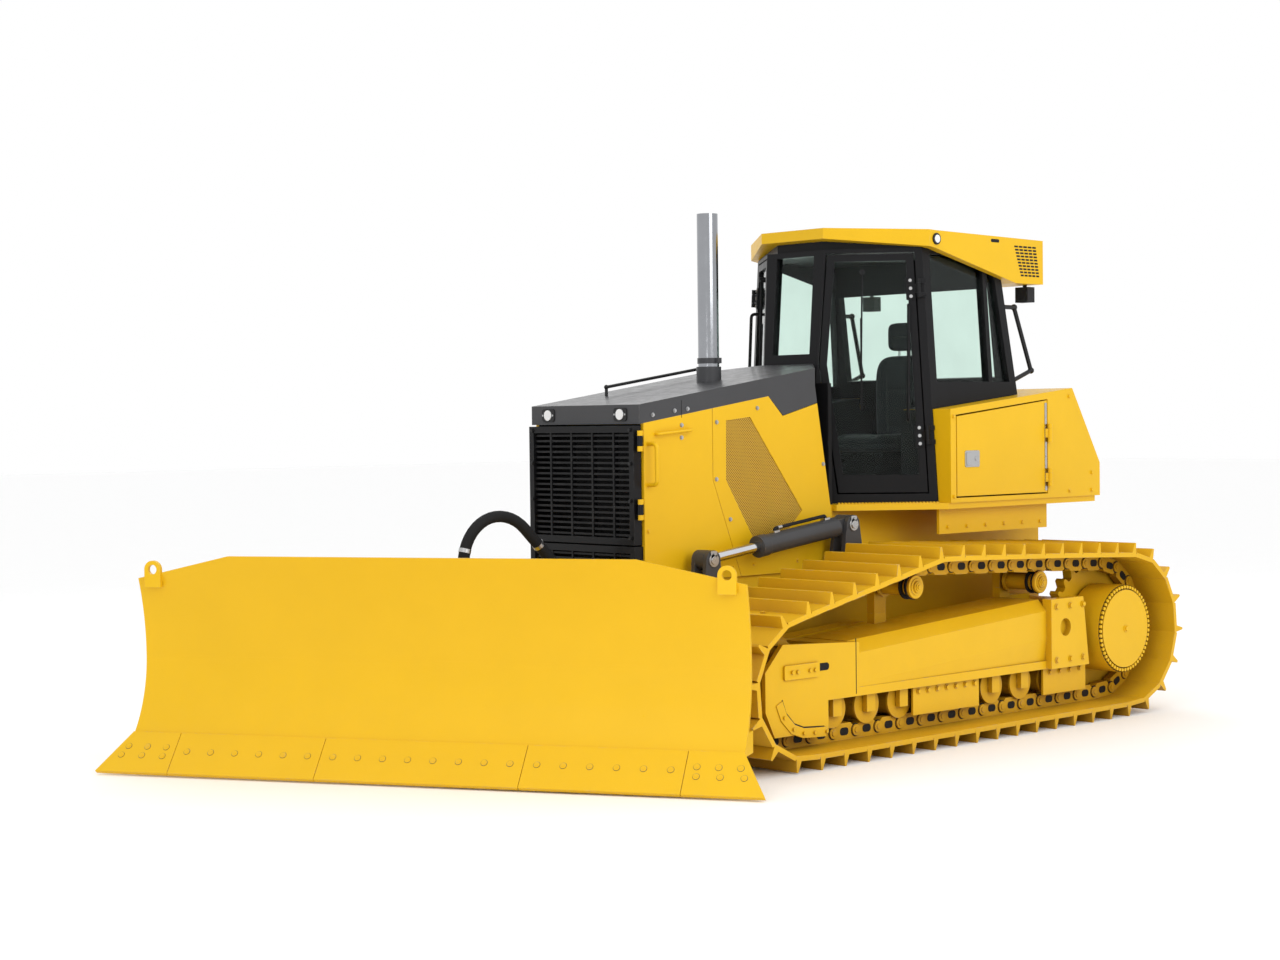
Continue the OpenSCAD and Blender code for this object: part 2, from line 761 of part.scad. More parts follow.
// Frame with slats and uprights, between two heights
module grille_panel(z0, z1) {
    gap_h = z1 - z0 - 2 * grille_border;
    count = round(slat_count * gap_h / (grille_top - grille_low));
    step = gap_h / count;
    difference() {
        block([-grille_half, grille_y, z0], [grille_half, grille_y + grille_t, z1]);
        block([-grille_half + grille_border, grille_y - over, z0 + grille_border],
            [grille_half - grille_border, grille_y + grille_t + over, z1 - grille_border]);
    }
    for (i = [0 : count - 1])
        translate([0, grille_y + grille_t / 2, z0 + grille_border + step * (i + 1 / 2)])
        block([-grille_half + grille_border - over, -slat_t / 2, -slat_h / 2],
            [grille_half - grille_border + over, slat_t / 2, slat_h / 2]);
    for (i = [1 : upright_count])
        translate([-grille_half + 2 * grille_half * i / (upright_count + 1), grille_y + grille_t / 2, 0])
        block([-upright_w / 2, -slat_t / 2 - seam, z0 + grille_border - over],
            [upright_w / 2, slat_t / 2, z1 - grille_border + over]);
}

module grille() {
    color(black) {
        grille_panel(grille_split, grille_top);
        for (z = grille_hinge_zs)
            translate([grille_hinge_x, grille_hinge_y, z])
            hinge_knuckle([grille_half - over - grille_hinge_x, grille_y + grille_t / 2 - grille_hinge_y]);
    }
}

// Lower part of the grille, fixed to the front of the side panels
module grille_base() {
    color(black) {
        grille_panel(grille_low, grille_split - door_gap);
        both_sides() block([hood_half - sheet_t, grille_y + grille_t - over, grille_low],
            [grille_half, panel_front_y, grille_split - door_gap]);
    }
}

// Deck, side boxes and tank

post_y = 333;
cab_rear_low = 1350;
cab_rear_top = 1135;
front_y_low = -220;
front_y_top = post_y - (side_half_top - front_half_top) * (post_y - front_y_low)
    / (side_half_low - front_half_low);
ledge_half = 935;
ledge_front_half = 500;
ledge_rear_y = 1960;
firewall_t = 30;
firewall_top = 2240;
skirt_x = 860;
skirt_t = 20;
skirt_low = 1255;
skirt_front_y = -60;
skirt_rear_y = 1500;

module deck() {
    color(yellow) {
        upward(deck_low, deck_z)
            polygon([[-ledge_front_half, deck_front_y], [ledge_front_half, deck_front_y],
                [ledge_half, post_y], [ledge_half, ledge_rear_y], [-ledge_half, ledge_rear_y],
                [-ledge_half, post_y]]);
        block([-body_half, deck_front_y - firewall_t, engine_deck],
            [body_half, deck_front_y, firewall_top]);
        both_sides() block([skirt_x - skirt_t, post_y, skirt_low], [skirt_x, skirt_rear_y, deck_low + over]);
    }
}

box_in = 560;
box_out = 950;
box_front_y = 345;
box_front_top = 2068;
box_rear_y = 2000;
box_shoulder_y = 1680;
box_shoulder_top = 2207;
box_bend_z = 1690;
pocket_deep = 220;
door_front_y = 410;
door_rear_y = 1385;
door_low = 1500;
door_top_drop = 55;
door_t = 25;
door_hinge_out = 24;
door_hinge_zs = [1600, 1900];
function box_top(y) =
    box_front_top + (box_shoulder_top - box_front_top) * (y - box_front_y) / (box_shoulder_y - box_front_y);
service_hinge = [box_out + door_hinge_out, door_rear_y + door_gap / 2];

// Outline of the service door, grown outward by a gap
module service_outline(gap) {
    polygon([[door_front_y - gap, door_low - gap],
        [door_front_y - gap, box_top(door_front_y) - door_top_drop + gap],
        [door_rear_y + gap, box_top(door_rear_y) - door_top_drop + gap],
        [door_rear_y + gap, door_low - gap]]);
}

module side_profile() {
    polygon([[box_front_y, deck_z], [box_front_y, box_front_top], [box_shoulder_y, box_shoulder_top],
        [box_rear_y, box_bend_z], [box_rear_y, deck_z]]);
}

module side_box() {
    color(yellow) {
        difference() {
            across(box_in, box_out) side_profile();
            across(box_out - pocket_deep, box_out + over) service_outline(door_gap);
        }
        for (z = door_hinge_zs)
            translate([service_hinge[0], service_hinge[1], z])
            hinge_pin([-door_hinge_out - over, hinge_r + door_gap]);
    }
}

module service_door() {
    color(yellow) {
        across(box_out - door_t, box_out) service_outline(0);
        for (z = door_hinge_zs)
            translate([service_hinge[0], service_hinge[1], z])
            hinge_knuckle([-door_hinge_out - over, -hinge_r - door_gap]);
    }
}

tank_front_y = 1420;
tank_side = 1;

module fuel_tank() {
    color(yellow) difference() {
        across(-box_in + tank_side, box_in - tank_side) side_profile();
        block([-box_in, box_front_y - over, deck_z - over], [box_in, tank_front_y, box_shoulder_top + over]);
    }
}

// Cab: flat walls that lean in towards the roof

cab_floor = deck_z;
cab_half = max(side_half_low, side_half_top);
cowl_gap = 25;
cowl_y = front_y(hood_front_z) - cowl_gap;
cab_ring_low = [[front_half_low, front_y_low], [side_half_low, post_y], [side_half_low, cab_rear_low]];
cab_ring_top = [[front_half_top, front_y_top], [side_half_top, post_y], [side_half_top, cab_rear_top]];
function low_corner(i) = [cab_ring_low[i][0], cab_ring_low[i][1], cab_floor];
function top_corner(i) = [cab_ring_top[i][0], cab_ring_top[i][1], cab_top];
function right_of(p) = [-p[0], p[1], p[2]];
function unit(v) = v / norm(v);

// Places a flat outline on a wall: x runs from p to q, y up the wall and z out of it
module on_wall(p, q, r) {
    u = unit(q - p);
    n = unit(cross(u, r - p));
    v = cross(n, u);
    multmatrix([[u[0], v[0], n[0], p[0]], [u[1], v[1], n[1], p[1]], [u[2], v[2], n[2], p[2]], [0, 0, 0, 1]])
        children();
}
function wall_u(p, q, r, x) = (x - p) * unit(q - p);
function wall_v(p, q, r, x) = (x - p) * cross(unit(cross(unit(q - p), r - p)), unit(q - p));

// Solid of the cab's outside, pulled in by an inset
module cab_solid(inset) {
    grow = inset > 0 ? over : 0;
    low = cab_floor - grow;
    high = cab_top + grow;
    intersection() {
        block([-cab_half, min(front_y_low, front_y_top), low],
            [cab_half, max(cab_rear_low, cab_rear_top), high]);
        both_halves() wall_space(low_corner(0), low_corner(1), top_corner(0), inset);
        both_halves() wall_space(low_corner(1), low_corner(2), top_corner(1), inset);
        wall_space(right_of(low_corner(0)), low_corner(0), top_corner(0), inset);
        wall_space(low_corner(2), right_of(low_corner(2)), top_corner(2), inset);
    }
}

wall_reach = 6000;
module both_halves() {
    intersection() {
        children();
        mirror([1, 0, 0]) children();
    }
}

// Half space behind a wall, pulled in by an inset
module wall_space(p, q, r, inset) {
    on_wall(p, q, r) translate([0, 0, -inset]) block([-wall_reach, -wall_reach, -2 * wall_reach],
        [wall_reach, wall_reach, 0]);
}

front_post = 20;
rear_post = 60;
sill_h = 70;
head_h = 35;
door_slant_z = 2370;
door_low_in = 205;
door_p = low_corner(0);
door_q = low_corner(1);
door_r = top_corner(0);
door_top_v = wall_v(door_p, door_q, door_r, top_corner(0));
function door_front_u(v) = wall_u(door_p, door_q, door_r, top_corner(0)) * v / door_top_v + front_post;
function door_rear_u(v) =
    let (low = norm(door_q - door_p), top = wall_u(door_p, door_q, door_r, top_corner(1)))
    low + (top - low) * v / door_top_v - rear_post;
slant_v = door_top_v * (door_slant_z - cab_floor) / (cab_top - cab_floor);
head_v = door_top_v - head_h;

// Outline of a cab door on its wall, grown outward by a gap
module cab_door_outline(gap) {
    polygon([[door_low_in - gap, sill_h - gap], [door_front_u(slant_v) - gap, slant_v],
        [door_front_u(head_v) - gap, head_v + gap], [door_rear_u(head_v) + gap, head_v + gap],
        [door_rear_u(sill_h) + gap, sill_h - gap]]);
}

window_low = 2250;
side_border = 70;
mullion_share = 0.63;
mullion_w = 40;
windshield_low = 2440;
windshield_border = 45;
rear_window_low = 2290;

module side_windows() {
    p = low_corner(1);
    q = low_corner(2);
    r = top_corner(1);
    run = norm(q - p);
    rise = wall_v(p, q, r, r);
    lean = wall_u(p, q, r, top_corner(2)) - run;
    low = rise * (window_low - cab_floor) / (cab_top - cab_floor);
    high = rise - head_h;
    split = run * mullion_share;
    polygon([[side_border, low], [side_border, high],
        [split - mullion_w / 2, high], [split - mullion_w / 2, low]]);
    polygon([[split + mullion_w / 2, low], [split + mullion_w / 2, high],
        [run + lean - side_border, high],
        [run + lean * low / rise - side_border, low]]);
}

module windshield() {
    p = right_of(low_corner(0));
    q = low_corner(0);
    r = top_corner(0);
    rise = wall_v(p, q, r, r);
    low = rise * (windshield_low - cab_floor) / (cab_top - cab_floor);
    polygon([[windshield_border, low],
        [windshield_border, rise - head_h],
        [2 * front_half_low - windshield_border, rise - head_h],
        [2 * front_half_low - windshield_border, low]]);
}

module rear_window() {
    rise = wall_v(low_corner(2), right_of(low_corner(2)), top_corner(2), top_corner(2));
    low = rise * (rear_window_low - cab_floor) / (cab_top - cab_floor);
    inset = side_half_low - side_half_top + side_border;
    polygon([[inset, low], [inset, rise - head_h],
        [2 * side_half_low - inset, rise - head_h], [2 * side_half_low - inset, low]]);
}

// Cuts or fills a wall between two depths below its face
module through_wall(deep0, deep1) {
    translate([0, 0, -deep1]) linear_extrude(deep1 - deep0) children();
}

hinge_vs = [440, 1400];
cab_hinge_out = 22;
cab_hinge_in = 20;
cab_hinge_reach = 48;
function cab_hinge_u(v) = door_rear_u(v) + cab_hinge_in;
hinge_lean = atan((cab_hinge_u(hinge_vs[0]) - cab_hinge_u(hinge_vs[1])) / (hinge_vs[1] - hinge_vs[0]));

// Places a hinge of the left cab door, its axis along the rear post
module at_cab_hinge(v) {
    on_wall(door_p, door_q, door_r)
        translate([cab_hinge_u(v), v, cab_hinge_out]) rotate([-90, 0, hinge_lean]) children();
}

module cab_frame() {
    color(black) {
        difference() {
            cab_solid(0);
            cab_solid(cab_wall);
            both_sides() {
                on_wall(door_p, door_q, door_r)
                    through_wall(-over, cab_wall + over) cab_door_outline(door_gap);
                on_wall(low_corner(1), low_corner(2), top_corner(1))
                    through_wall(-over, cab_wall + over) side_windows();
                across(box_in - tank_side, cab_half + over) polygon([
                    [box_front_y - seam, cab_floor - over],
                    [box_front_y - seam, box_top(box_front_y - seam) + seam / 2],
                    [box_shoulder_y, box_shoulder_top + seam / 2], [box_shoulder_y, cab_floor - over]]);
            }
            on_wall(right_of(low_corner(0)), low_corner(0), top_corner(0))
                through_wall(-over, cab_wall + over) windshield();
            on_wall(low_corner(2), right_of(low_corner(2)), top_corner(2))
                through_wall(-over, cab_wall + over) rear_window();
        }
        roof_header();
        both_sides() for (v = hinge_vs) at_cab_hinge(v) hinge_pin([cab_hinge_reach, cab_hinge_out + over]);
    }
}

door_thick = 45;
door_border = 46;
door_kick = 116;

// Outline of a cab door's pane
module cab_door_pane() {
    low = sill_h + door_kick;
    low_u = door_low_in + (door_front_u(slant_v) - door_low_in) * door_kick / (slant_v - sill_h);
    high = head_v - door_border;
    polygon([[low_u + door_border, low], [door_front_u(slant_v) + door_border, slant_v],
        [door_front_u(head_v) + door_border, high], [door_rear_u(head_v) - door_border, high],
        [door_rear_u(low) - door_border, low]]);
}

module cab_door() {
    color(black) {
        on_wall(door_p, door_q, door_r) difference() {
            through_wall(0, door_thick) cab_door_outline(0);
            through_wall(-over, door_thick + over) cab_door_pane();
        }
        for (v = hinge_vs) at_cab_hinge(v) hinge_knuckle([-cab_hinge_reach, cab_hinge_out + over]);
    }
}

module door_glass() {
    color(clear_glass) on_wall(door_p, door_q, door_r)
        through_wall((door_thick - pane_t) / 2, (door_thick + pane_t) / 2) cab_door_pane();
}

module cab_glass() {
    color(clear_glass) {
        both_sides() on_wall(low_corner(1), low_corner(2), top_corner(1))
            through_wall((cab_wall - pane_t) / 2, (cab_wall + pane_t) / 2) side_windows();
        on_wall(right_of(low_corner(0)), low_corner(0), top_corner(0))
            through_wall((cab_wall - pane_t) / 2, (cab_wall + pane_t) / 2) windshield();
        on_wall(low_corner(2), right_of(low_corner(2)), top_corner(2))
            through_wall((cab_wall - pane_t) / 2, (cab_wall + pane_t) / 2) rear_window();
    }
}

roof_front_top = 3260;
roof_mid_top = 3235;
roof_rear_top = 3220;
roof_front_low = 3190;
roof_rear_low = 2920;
roof_drop_y = 390;
roof_heel_y = 1250;
roof_rear_y = 1560;
eave_front = 35;
eave_corner = 18;
eave_side = 65;
roof_front_half = front_half_top + eave_corner;
roof_half = side_half_top + eave_side;
roof_front_y = front_y_top - eave_front;
header_in = 75;

// Plan of the roof, pulled in by an inset
module roof_plan(inset) {
    polygon([[-roof_front_half + inset, roof_front_y + inset],
        [roof_front_half - inset, roof_front_y + inset], [roof_half - inset, post_y],
        [roof_half - inset, roof_rear_y], [-roof_half + inset, roof_rear_y], [-roof_half + inset, post_y]]);
}

module roof_header() {
    intersection() {
        across(-roof_half, roof_half)
            polygon([[roof_front_y, cab_top - over], [roof_front_y, roof_front_low], [roof_drop_y, cab_top],
                [roof_drop_y, cab_top - over]]);
        upward(cab_top - over, roof_front_low) roof_plan(header_in);
    }
}

module cab_roof() {
    color(yellow) difference() {
        intersection() {
            across(-roof_half, roof_half)
                polygon([[roof_front_y, roof_front_low], [roof_front_y, roof_front_top],
                    [roof_drop_y, roof_mid_top], [roof_rear_y, roof_rear_top], [roof_rear_y, roof_rear_low],
                    [roof_heel_y, roof_rear_low], [roof_drop_y, cab_top]]);
            upward(roof_rear_low, roof_front_top) roof_plan(0);
        }
        cab_solid(0);
    }
}

seat_half = 240;
seat_len = 470;
seat_base_half = 180;
seat_base_top = 1780;
seat_top = 1900;
seat_back_t = 130;
seat_back_top = 2450;
head_low = 2480;
head_top = 2680;
head_half = 130;
head_post_half = 60;
seat_space = 32;
seat_y = rear_y(head_top) - cab_wall - seat_space - seat_len - seat_back_t;

module seat() {
    color(dark) {
        block([-seat_base_half, seat_y + over, cab_floor],
            [seat_base_half, seat_y + seat_len, seat_base_top]);
        block([-seat_half, seat_y, seat_base_top - over], [seat_half, seat_y + seat_len, seat_top]);
        block([-seat_half, seat_y + seat_len - over, seat_base_top],
            [seat_half, seat_y + seat_len + seat_back_t, seat_back_top]);
        block([-head_post_half, seat_y + seat_len + seat_back_t / 4, seat_back_top - over],
            [head_post_half, seat_y + seat_len + seat_back_t * 3 / 4, head_low + over]);
        block([-head_half, seat_y + seat_len, head_low],
            [head_half, seat_y + seat_len + seat_back_t, head_top]);
    }
}

console_w = 150;
console_front_y = 500;
console_rear_y = 1150;
console_top = 2080;
dash_half = 120;
dash_t = 160;
dash_top = 2330;
dash_y = front_y(dash_top) + cab_wall + 2 * seam;
stick_r = 22;
stick_h = 170;

module console() {
    color(dark) {
        both_sides() {
            block([box_in - console_w - seam, console_front_y, cab_floor],
                [box_in - seam, console_rear_y, console_top]);
            translate([box_in - seam - console_w / 2, console_front_y + console_w / 2, console_top])
                cylinder(r = stick_r, h = stick_h);
        }
        block([-dash_half, dash_y, cab_floor], [dash_half, dash_y + dash_t, dash_top]);
    }
}

work_lamp_x = 690;
work_lamp_y = 1500;
work_lamp_w = 105;
work_lamp_h = 100;
work_lamp_t = 80;
work_stem_r = 14;
work_stem_h = 20;

module work_lamps() {
    color(black) both_sides() translate([work_lamp_x, work_lamp_y, roof_rear_low - work_stem_h]) {
        cylinder(r = work_stem_r, h = work_stem_h);
        block([-work_lamp_w / 2, -work_lamp_t / 2, -work_lamp_h], [work_lamp_w / 2, work_lamp_t / 2, over]);
    }
}

grab_r = 15;
grab_out = 140;
grab_high = 2760;
grab_low = 2330;
grab_lean = 90;
function side_x(z) =
    side_half_low + (side_half_top - side_half_low) * (z - cab_floor) / (cab_top - cab_floor) - cab_wall / 2;
function front_y(z) = front_y_low + (front_y_top - front_y_low) * (z - cab_floor) / (cab_top - cab_floor);
function rear_y(z) = cab_rear_low + (cab_rear_top - cab_rear_low) * (z - cab_floor) / (cab_top - cab_floor);

module cab_rails() {
    color(black) both_sides() difference() {
        tube_through([[side_x(grab_high), rear_y(grab_high) - cab_wall / 2, grab_high],
            [side_x(grab_high), rear_y(grab_high) + grab_out, grab_high],
            [side_x(grab_low), rear_y(grab_low) + grab_out + grab_lean, grab_low],
            [side_x(grab_low), rear_y(grab_low) - cab_wall / 2, grab_low - grab_lean]], grab_r);
        cab_solid(0);
    }
}

// Lift cylinders run beside the hood from a bracket to a tower on each push arm

lift_x = 620;
lift_base = [-309, 1341];
lift_tower = [-1577, 1177];
eye_r = 60;
eye_w = 60;
eye_pin_r = 28;
ear_t = 28;
lift_foot_low = 930;
lift_foot_top = 1045;
lift_foot_half = 110;
lift_gland = 830;
lift_rod_len = 730;
lift_bore_start = 190;
gland_len = 70;
gland_out = 6;
eye_neck = 90;
lift_neck = 115;
eye_share = 0.7;
ear_in = eye_w / 2 + ear_clear;
lift_ear_in = lift_x - ear_in - ear_t;
lift_ear_out = lift_x + ear_in + ear_t;
lift_run = lift_tower - lift_base;
lift_len = norm(lift_run);

// Pair of ears along X with round heads, standing on a foot
module ears(place, foot_z, half) {
    for (side = [-1, 1]) translate([side * (ear_in + ear_t / 2), 0, 0]) {
        bar_x(-ear_t / 2, ear_t / 2, place, eye_r);
        across(-ear_t / 2, ear_t / 2)
            polygon([[place[0] - eye_r, place[1]], [place[0] + eye_r, place[1]],
                [place[0] + half, foot_z], [place[0] - half, foot_z]]);
    }
}

module lift_brackets() {
    color(dark) both_sides() {
        translate([lift_x, 0, 0]) {
            ears(lift_base, lift_foot_top - over, lift_foot_half);
            bar_x(-ear_in - over, ear_in + over, lift_base, eye_pin_r);
        }
        block([body_half, lift_base[0] - lift_foot_half, lift_foot_low],
            [lift_ear_out, lift_base[0] + lift_foot_half, lift_foot_top]);
    }
}

// Barrel of a cylinder along local X, its eye at the origin and its pin along local Y
module barrel(r, bore_r, start, gland, neck) {
    difference() {
        union() {
            rotate([90, 0, 0]) translate([0, 0, -eye_w / 2]) cylinder(r = eye_r, h = eye_w);
            block([0, -eye_w / 2, -r * eye_share], [neck, eye_w / 2, r * eye_share]);
            rotate([0, 90, 0]) translate([0, 0, neck - over]) cylinder(r = r, h = gland - neck + over);
            rotate([0, 90, 0]) translate([0, 0, gland - gland_len])
                cylinder(r = r + gland_out, h = gland_len);
        }
        rotate([0, 90, 0]) translate([0, 0, start]) cylinder(r = bore_r + rod_clear, h = gland);
        rotate([90, 0, 0]) translate([0, 0, -ear_in]) cylinder(r = eye_pin_r + pin_clear, h = 2 * ear_in);
    }
}

// Rod of a cylinder along local X, its eye at a distance and its tail in the barrel
module piston(r, eye_at, length) {
    translate([eye_at, 0, 0]) rotate([90, 0, 0]) translate([0, 0, -eye_w / 2]) cylinder(r = eye_r, h = eye_w);
    rotate([0, 90, 0]) translate([0, 0, eye_at - length]) cylinder(r = r, h = length);
}

// Local X from the base pin towards the tower, local Y along the machine's X
module on_lift() {
    translate([lift_x, lift_base[0], lift_base[1]])
        rotate([atan2(lift_run[1], lift_run[0]), 0, 0]) rotate([0, 0, 90]) children();
}

module lift_barrel() {
    color(dark) on_lift() barrel(lift_barrel_r, lift_rod_r, lift_bore_start, lift_gland, lift_neck);
}

module lift_rod() {
    color(steel) on_lift() piston(lift_rod_r, lift_len, lift_rod_len);
}

// Push frame: two arms, a cross beam and a nose with the king pin

arm_front_y = -2550;
arm_front_low = 285;
arm_front_top = 545;
arm_eye_r = 115;
beam_back_y = -2300;
tower_half = 100;
tower_web_top = 1040;
tower_foot = 560;
nose_back_half = 300;
nose_front_half = 160;
nose_front_y = -2840;
nose_low = 460;
nose_top = 940;
fork_t = 80;
fork_r = 95;
king_r = 45;
angle_base_x = 600;
angle_base_y = -1800;
angle_eye_x = 620;
angle_eye_back = 160;
jaw_t = 30;
jaw_half = 60;
jaw_reach = 110;
pivot_y = -pivot_reach;

module push_arm() {
    across(arm_in, arm_out) {
        translate([trunnion_y, trunnion_z]) circle(r = arm_eye_r);
        polygon([[trunnion_y, trunnion_z - arm_eye_r], [trunnion_y, trunnion_z + arm_eye_r],
            [arm_front_y, arm_front_top], [arm_front_y, arm_front_low]]);
    }
}

// Jaw for the eye pin of an angle cylinder: two flat plates above and below it
module jaw(reach) {
    for (side = [-1, 1]) translate([0, 0, side * (ear_in + jaw_t / 2)]) {
        translate([0, 0, -jaw_t / 2]) cylinder(r = jaw_half, h = jaw_t);
        block([-jaw_half, min(0, reach), -jaw_t / 2], [jaw_half, max(0, reach), jaw_t / 2]);
    }
}

// Castings that stand on the push arms and carry the eyes of the lift rods
module lift_towers() {
    color(dark) both_sides() difference() {
        union() {
            translate([lift_x, 0, 0]) ears(lift_tower, tower_foot, tower_half);
            block([lift_ear_in, lift_tower[0] - eye_r, tower_foot],
                [lift_ear_out, lift_tower[0] + eye_r, tower_web_top]);
        }
        push_arm();
    }
}

module c_frame() {
    color(yellow) difference() {
        union() {
            both_sides() {
                push_arm();
                translate([angle_base_x, angle_base_y, pivot_z]) {
                    jaw(jaw_reach);
                    translate([0, 0, -ear_in - over]) cylinder(r = eye_pin_r, h = 2 * (ear_in + over));
                }
                block([angle_base_x - jaw_half, angle_base_y + jaw_reach - plate_t, tower_foot],
                    [angle_base_x + jaw_half, angle_base_y + jaw_reach, pivot_z + ear_in + jaw_t]);
            }
            block([-arm_out, arm_front_y, arm_front_low], [arm_out, beam_back_y, arm_front_top]);
            upward(nose_low, nose_top)
                polygon([[-nose_back_half, beam_back_y], [nose_back_half, beam_back_y],
                    [nose_front_half, nose_front_y], [-nose_front_half, nose_front_y]]);
            for (z = [nose_low, nose_top - fork_t]) upward(z, z + fork_t) {
                translate([0, pivot_y]) circle(r = fork_r);
                polygon([[-nose_front_half, nose_front_y + over], [nose_front_half, nose_front_y + over],
                    [fork_r, pivot_y], [-fork_r, pivot_y]]);
            }
        }
        both_sides() bar_x(arm_in - over, arm_out + over, [trunnion_y, trunnion_z], trunnion_r + pin_clear);
        translate([0, pivot_y, nose_low - over])
            cylinder(r = king_r + pin_clear, h = nose_top - nose_low + 2 * over);
    }
}

// What is past the king pin is laid out with the blade square, then swung to its angle

module swung() {
    translate([0, pivot_y, 0]) rotate([0, 0, blade_angle]) children();
}

hub_half = 105;
yoke_deep = 100;
yoke_h = 160;
yoke_end = 690;
tilt_pin_r = 60;
tilt_pin_len = 52;
hub_play = 12;
post_x = -300;
post_half = 45;
tilt_z = 1040;
tilt_eye_x = 450;
tilt_y = -10;
hub_low = nose_low + fork_t + hub_play;
hub_high = nose_top - fork_t - hub_play;

module yoke() {
    color(dark) swung() {
        block([-hub_half, -yoke_deep / 2, hub_low], [hub_half, yoke_deep / 2, hub_high]);
        translate([0, 0, nose_low]) cylinder(r = king_r, h = nose_top - nose_low);
        block([-yoke_end, -yoke_deep / 2, pivot_z - yoke_h / 2],
            [yoke_end, yoke_deep / 2, pivot_z + yoke_h / 2]);
        translate([0, 0, pivot_z]) rotate([90, 0, 0])
            cylinder(r = tilt_pin_r, h = yoke_deep / 2 + tilt_pin_len);
        for (side = [-1, 1]) translate([side * angle_eye_x, angle_eye_back, pivot_z]) jaw(-angle_eye_back);
        for (side = [-1, 1]) translate([0, tilt_y + side * tilt_ear_y - ear_t / 2, 0])
            block([post_x - post_half, 0, pivot_z], [post_x + post_half, ear_t, tilt_z + post_half]);
        translate([post_x, tilt_y + ear_in + over, tilt_z]) rotate([90, 0, 0])
            cylinder(r = eye_pin_r, h = 2 * (ear_in + over));
    }
}

// Blade: a moldboard of two arcs with ribs behind, and bolted edges below

edge_reach = 470;
board_deep = 335;
board_mid_z = 660;
board_low_r = 700;
board_top_r = 1400;
board_low_z = 205;
board_half_in = 155;
shoulder_half = 1230;
shoulder_drop = 135;
edge_h = 275;
edge_t = 25;
rib_deep = 150;
rib_t = 30;
rib_shares = [0.424, 0.674, 0.924];
beam_tube_h = 120;
socket_r = 135;
socket_t = 58;
lug_half = 65;
lug_end = 125;
tilt_ear_y = ear_in + ear_t / 2;
eye_ring_r = 52;
eye_ring_bore_r = 28;
eye_ring_t = 25;
eye_ring_in = 75;
board_half = blade_w / 2 - board_half_in;
board_y = board_deep - edge_reach;
eye_ring_y = board_y - eye_ring_in;
blade_top = blade_h + edge_clear;

// Shell of the moldboard: two arcs that meet at its deepest line
module board_arc(r, z0, z1, thick) {
    intersection() {
        difference() {
            bar_x(-board_half, board_half, [board_y - r, board_mid_z], r + thick);
            bar_x(-board_half - over, board_half + over, [board_y - r, board_mid_z], r);
        }
        block([-board_half, -edge_reach, z0], [board_half, board_y + thick, z1]);
    }
}

module behind_board() {
    difference() {
        children();
        bar_x(-blade_w, blade_w, [board_y - board_low_r, board_mid_z], board_low_r + board_t / 2);
        intersection() {
            bar_x(-blade_w, blade_w, [board_y - board_top_r, board_mid_z], board_top_r + board_t / 2);
            block([-blade_w, -blade_w, board_mid_z], [blade_w, blade_w, blade_w]);
        }
    }
}

module moldboard() {
    color(yellow) swung() difference() {
        union() {
            intersection() {
                union() {
                    board_arc(board_low_r, board_low_z, board_mid_z, board_t);
                    board_arc(board_top_r, board_mid_z - seam, blade_top, board_t);
                }
                along(-edge_reach, board_y + board_t)
                    polygon([[-board_half, board_low_z], [board_half, board_low_z],
                        [board_half, blade_top - shoulder_drop], [shoulder_half, blade_top],
                        [-shoulder_half, blade_top], [-board_half, blade_top - shoulder_drop]]);
            }
            behind_board() {
                for (side = [-1, 1]) for (share = rib_shares) translate([side * share * board_half, 0, 0])
                    block([-rib_t / 2, -edge_reach, board_low_z + seam],
                        [rib_t / 2, board_y + rib_deep, blade_top - shoulder_drop - seam]);
                block([-board_half, -edge_reach, board_low_z],
                    [board_half, board_y + rib_t, board_low_z + beam_tube_h]);
                block([-shoulder_half, -edge_reach, blade_top - shoulder_drop - beam_tube_h],
                    [shoulder_half, board_y, blade_top - shoulder_drop]);
                translate([0, -yoke_deep / 2 - hub_play, pivot_z]) rotate([90, 0, 0])
                    cylinder(r = socket_r, h = socket_t + board_deep);
                translate([tilt_eye_x, tilt_y, tilt_z]) {
                    for (side = [-1, 1]) translate([0, side * tilt_ear_y, 0])
                        block([-lug_half, -ear_t / 2, -lug_half], [lug_end, ear_t / 2, lug_half]);
                    block([lug_end - ear_t, -edge_reach, -lug_half],
                        [lug_end, tilt_ear_y + ear_t / 2, lug_half]);
                }
            }
            for (side = [-1, 1]) at_eye(side) {
                rotate([90, 0, 0]) cylinder(r = eye_ring_r, h = eye_ring_t);
                block([-eye_ring_r, -eye_ring_t, -2 * eye_ring_r], [eye_ring_r, 0, 0]);
            }
        }
        on_edge_plane() polygon([[-blade_w, 0], [blade_w, 0], [blade_w, edge_h], [-blade_w, edge_h]]);
        translate([0, 0, pivot_z]) rotate([90, 0, 0])
            cylinder(r = tilt_pin_r + pin_clear, h = yoke_deep / 2 + tilt_pin_len + seam);
        for (side = [-1, 1]) at_eye(side) translate([0, over, 0]) rotate([90, 0, 0])
            cylinder(r = eye_ring_bore_r, h = eye_ring_t + 2 * over);
    }
}

// Places a lifting eye at an end of the blade
module at_eye(side) {
    translate([side * (board_half - 2 * eye_ring_r), eye_ring_y, blade_top - shoulder_drop + eye_ring_r])
        children();
}

// Bolted edges lie on one leaning plane under the moldboard
edge_mid_half = 610;
end_bit_w = 465;
edge_split = [edge_mid_half, blade_w / 2 - end_bit_w];
board_low_face = board_y - board_low_r + sqrt(pow(board_low_r, 2) - pow(board_mid_z - board_low_z, 2));
edge_lean = atan((edge_reach + board_low_face) / (board_low_z - edge_clear));

// Places an outline on the edges' plane, with their thickness behind it
module on_edge_plane() {
    translate([0, -edge_reach, edge_clear + edge_t * sin(edge_lean)]) rotate([90 - edge_lean, 0, 0])
        translate([0, 0, -edge_t]) linear_extrude(edge_t) children();
}

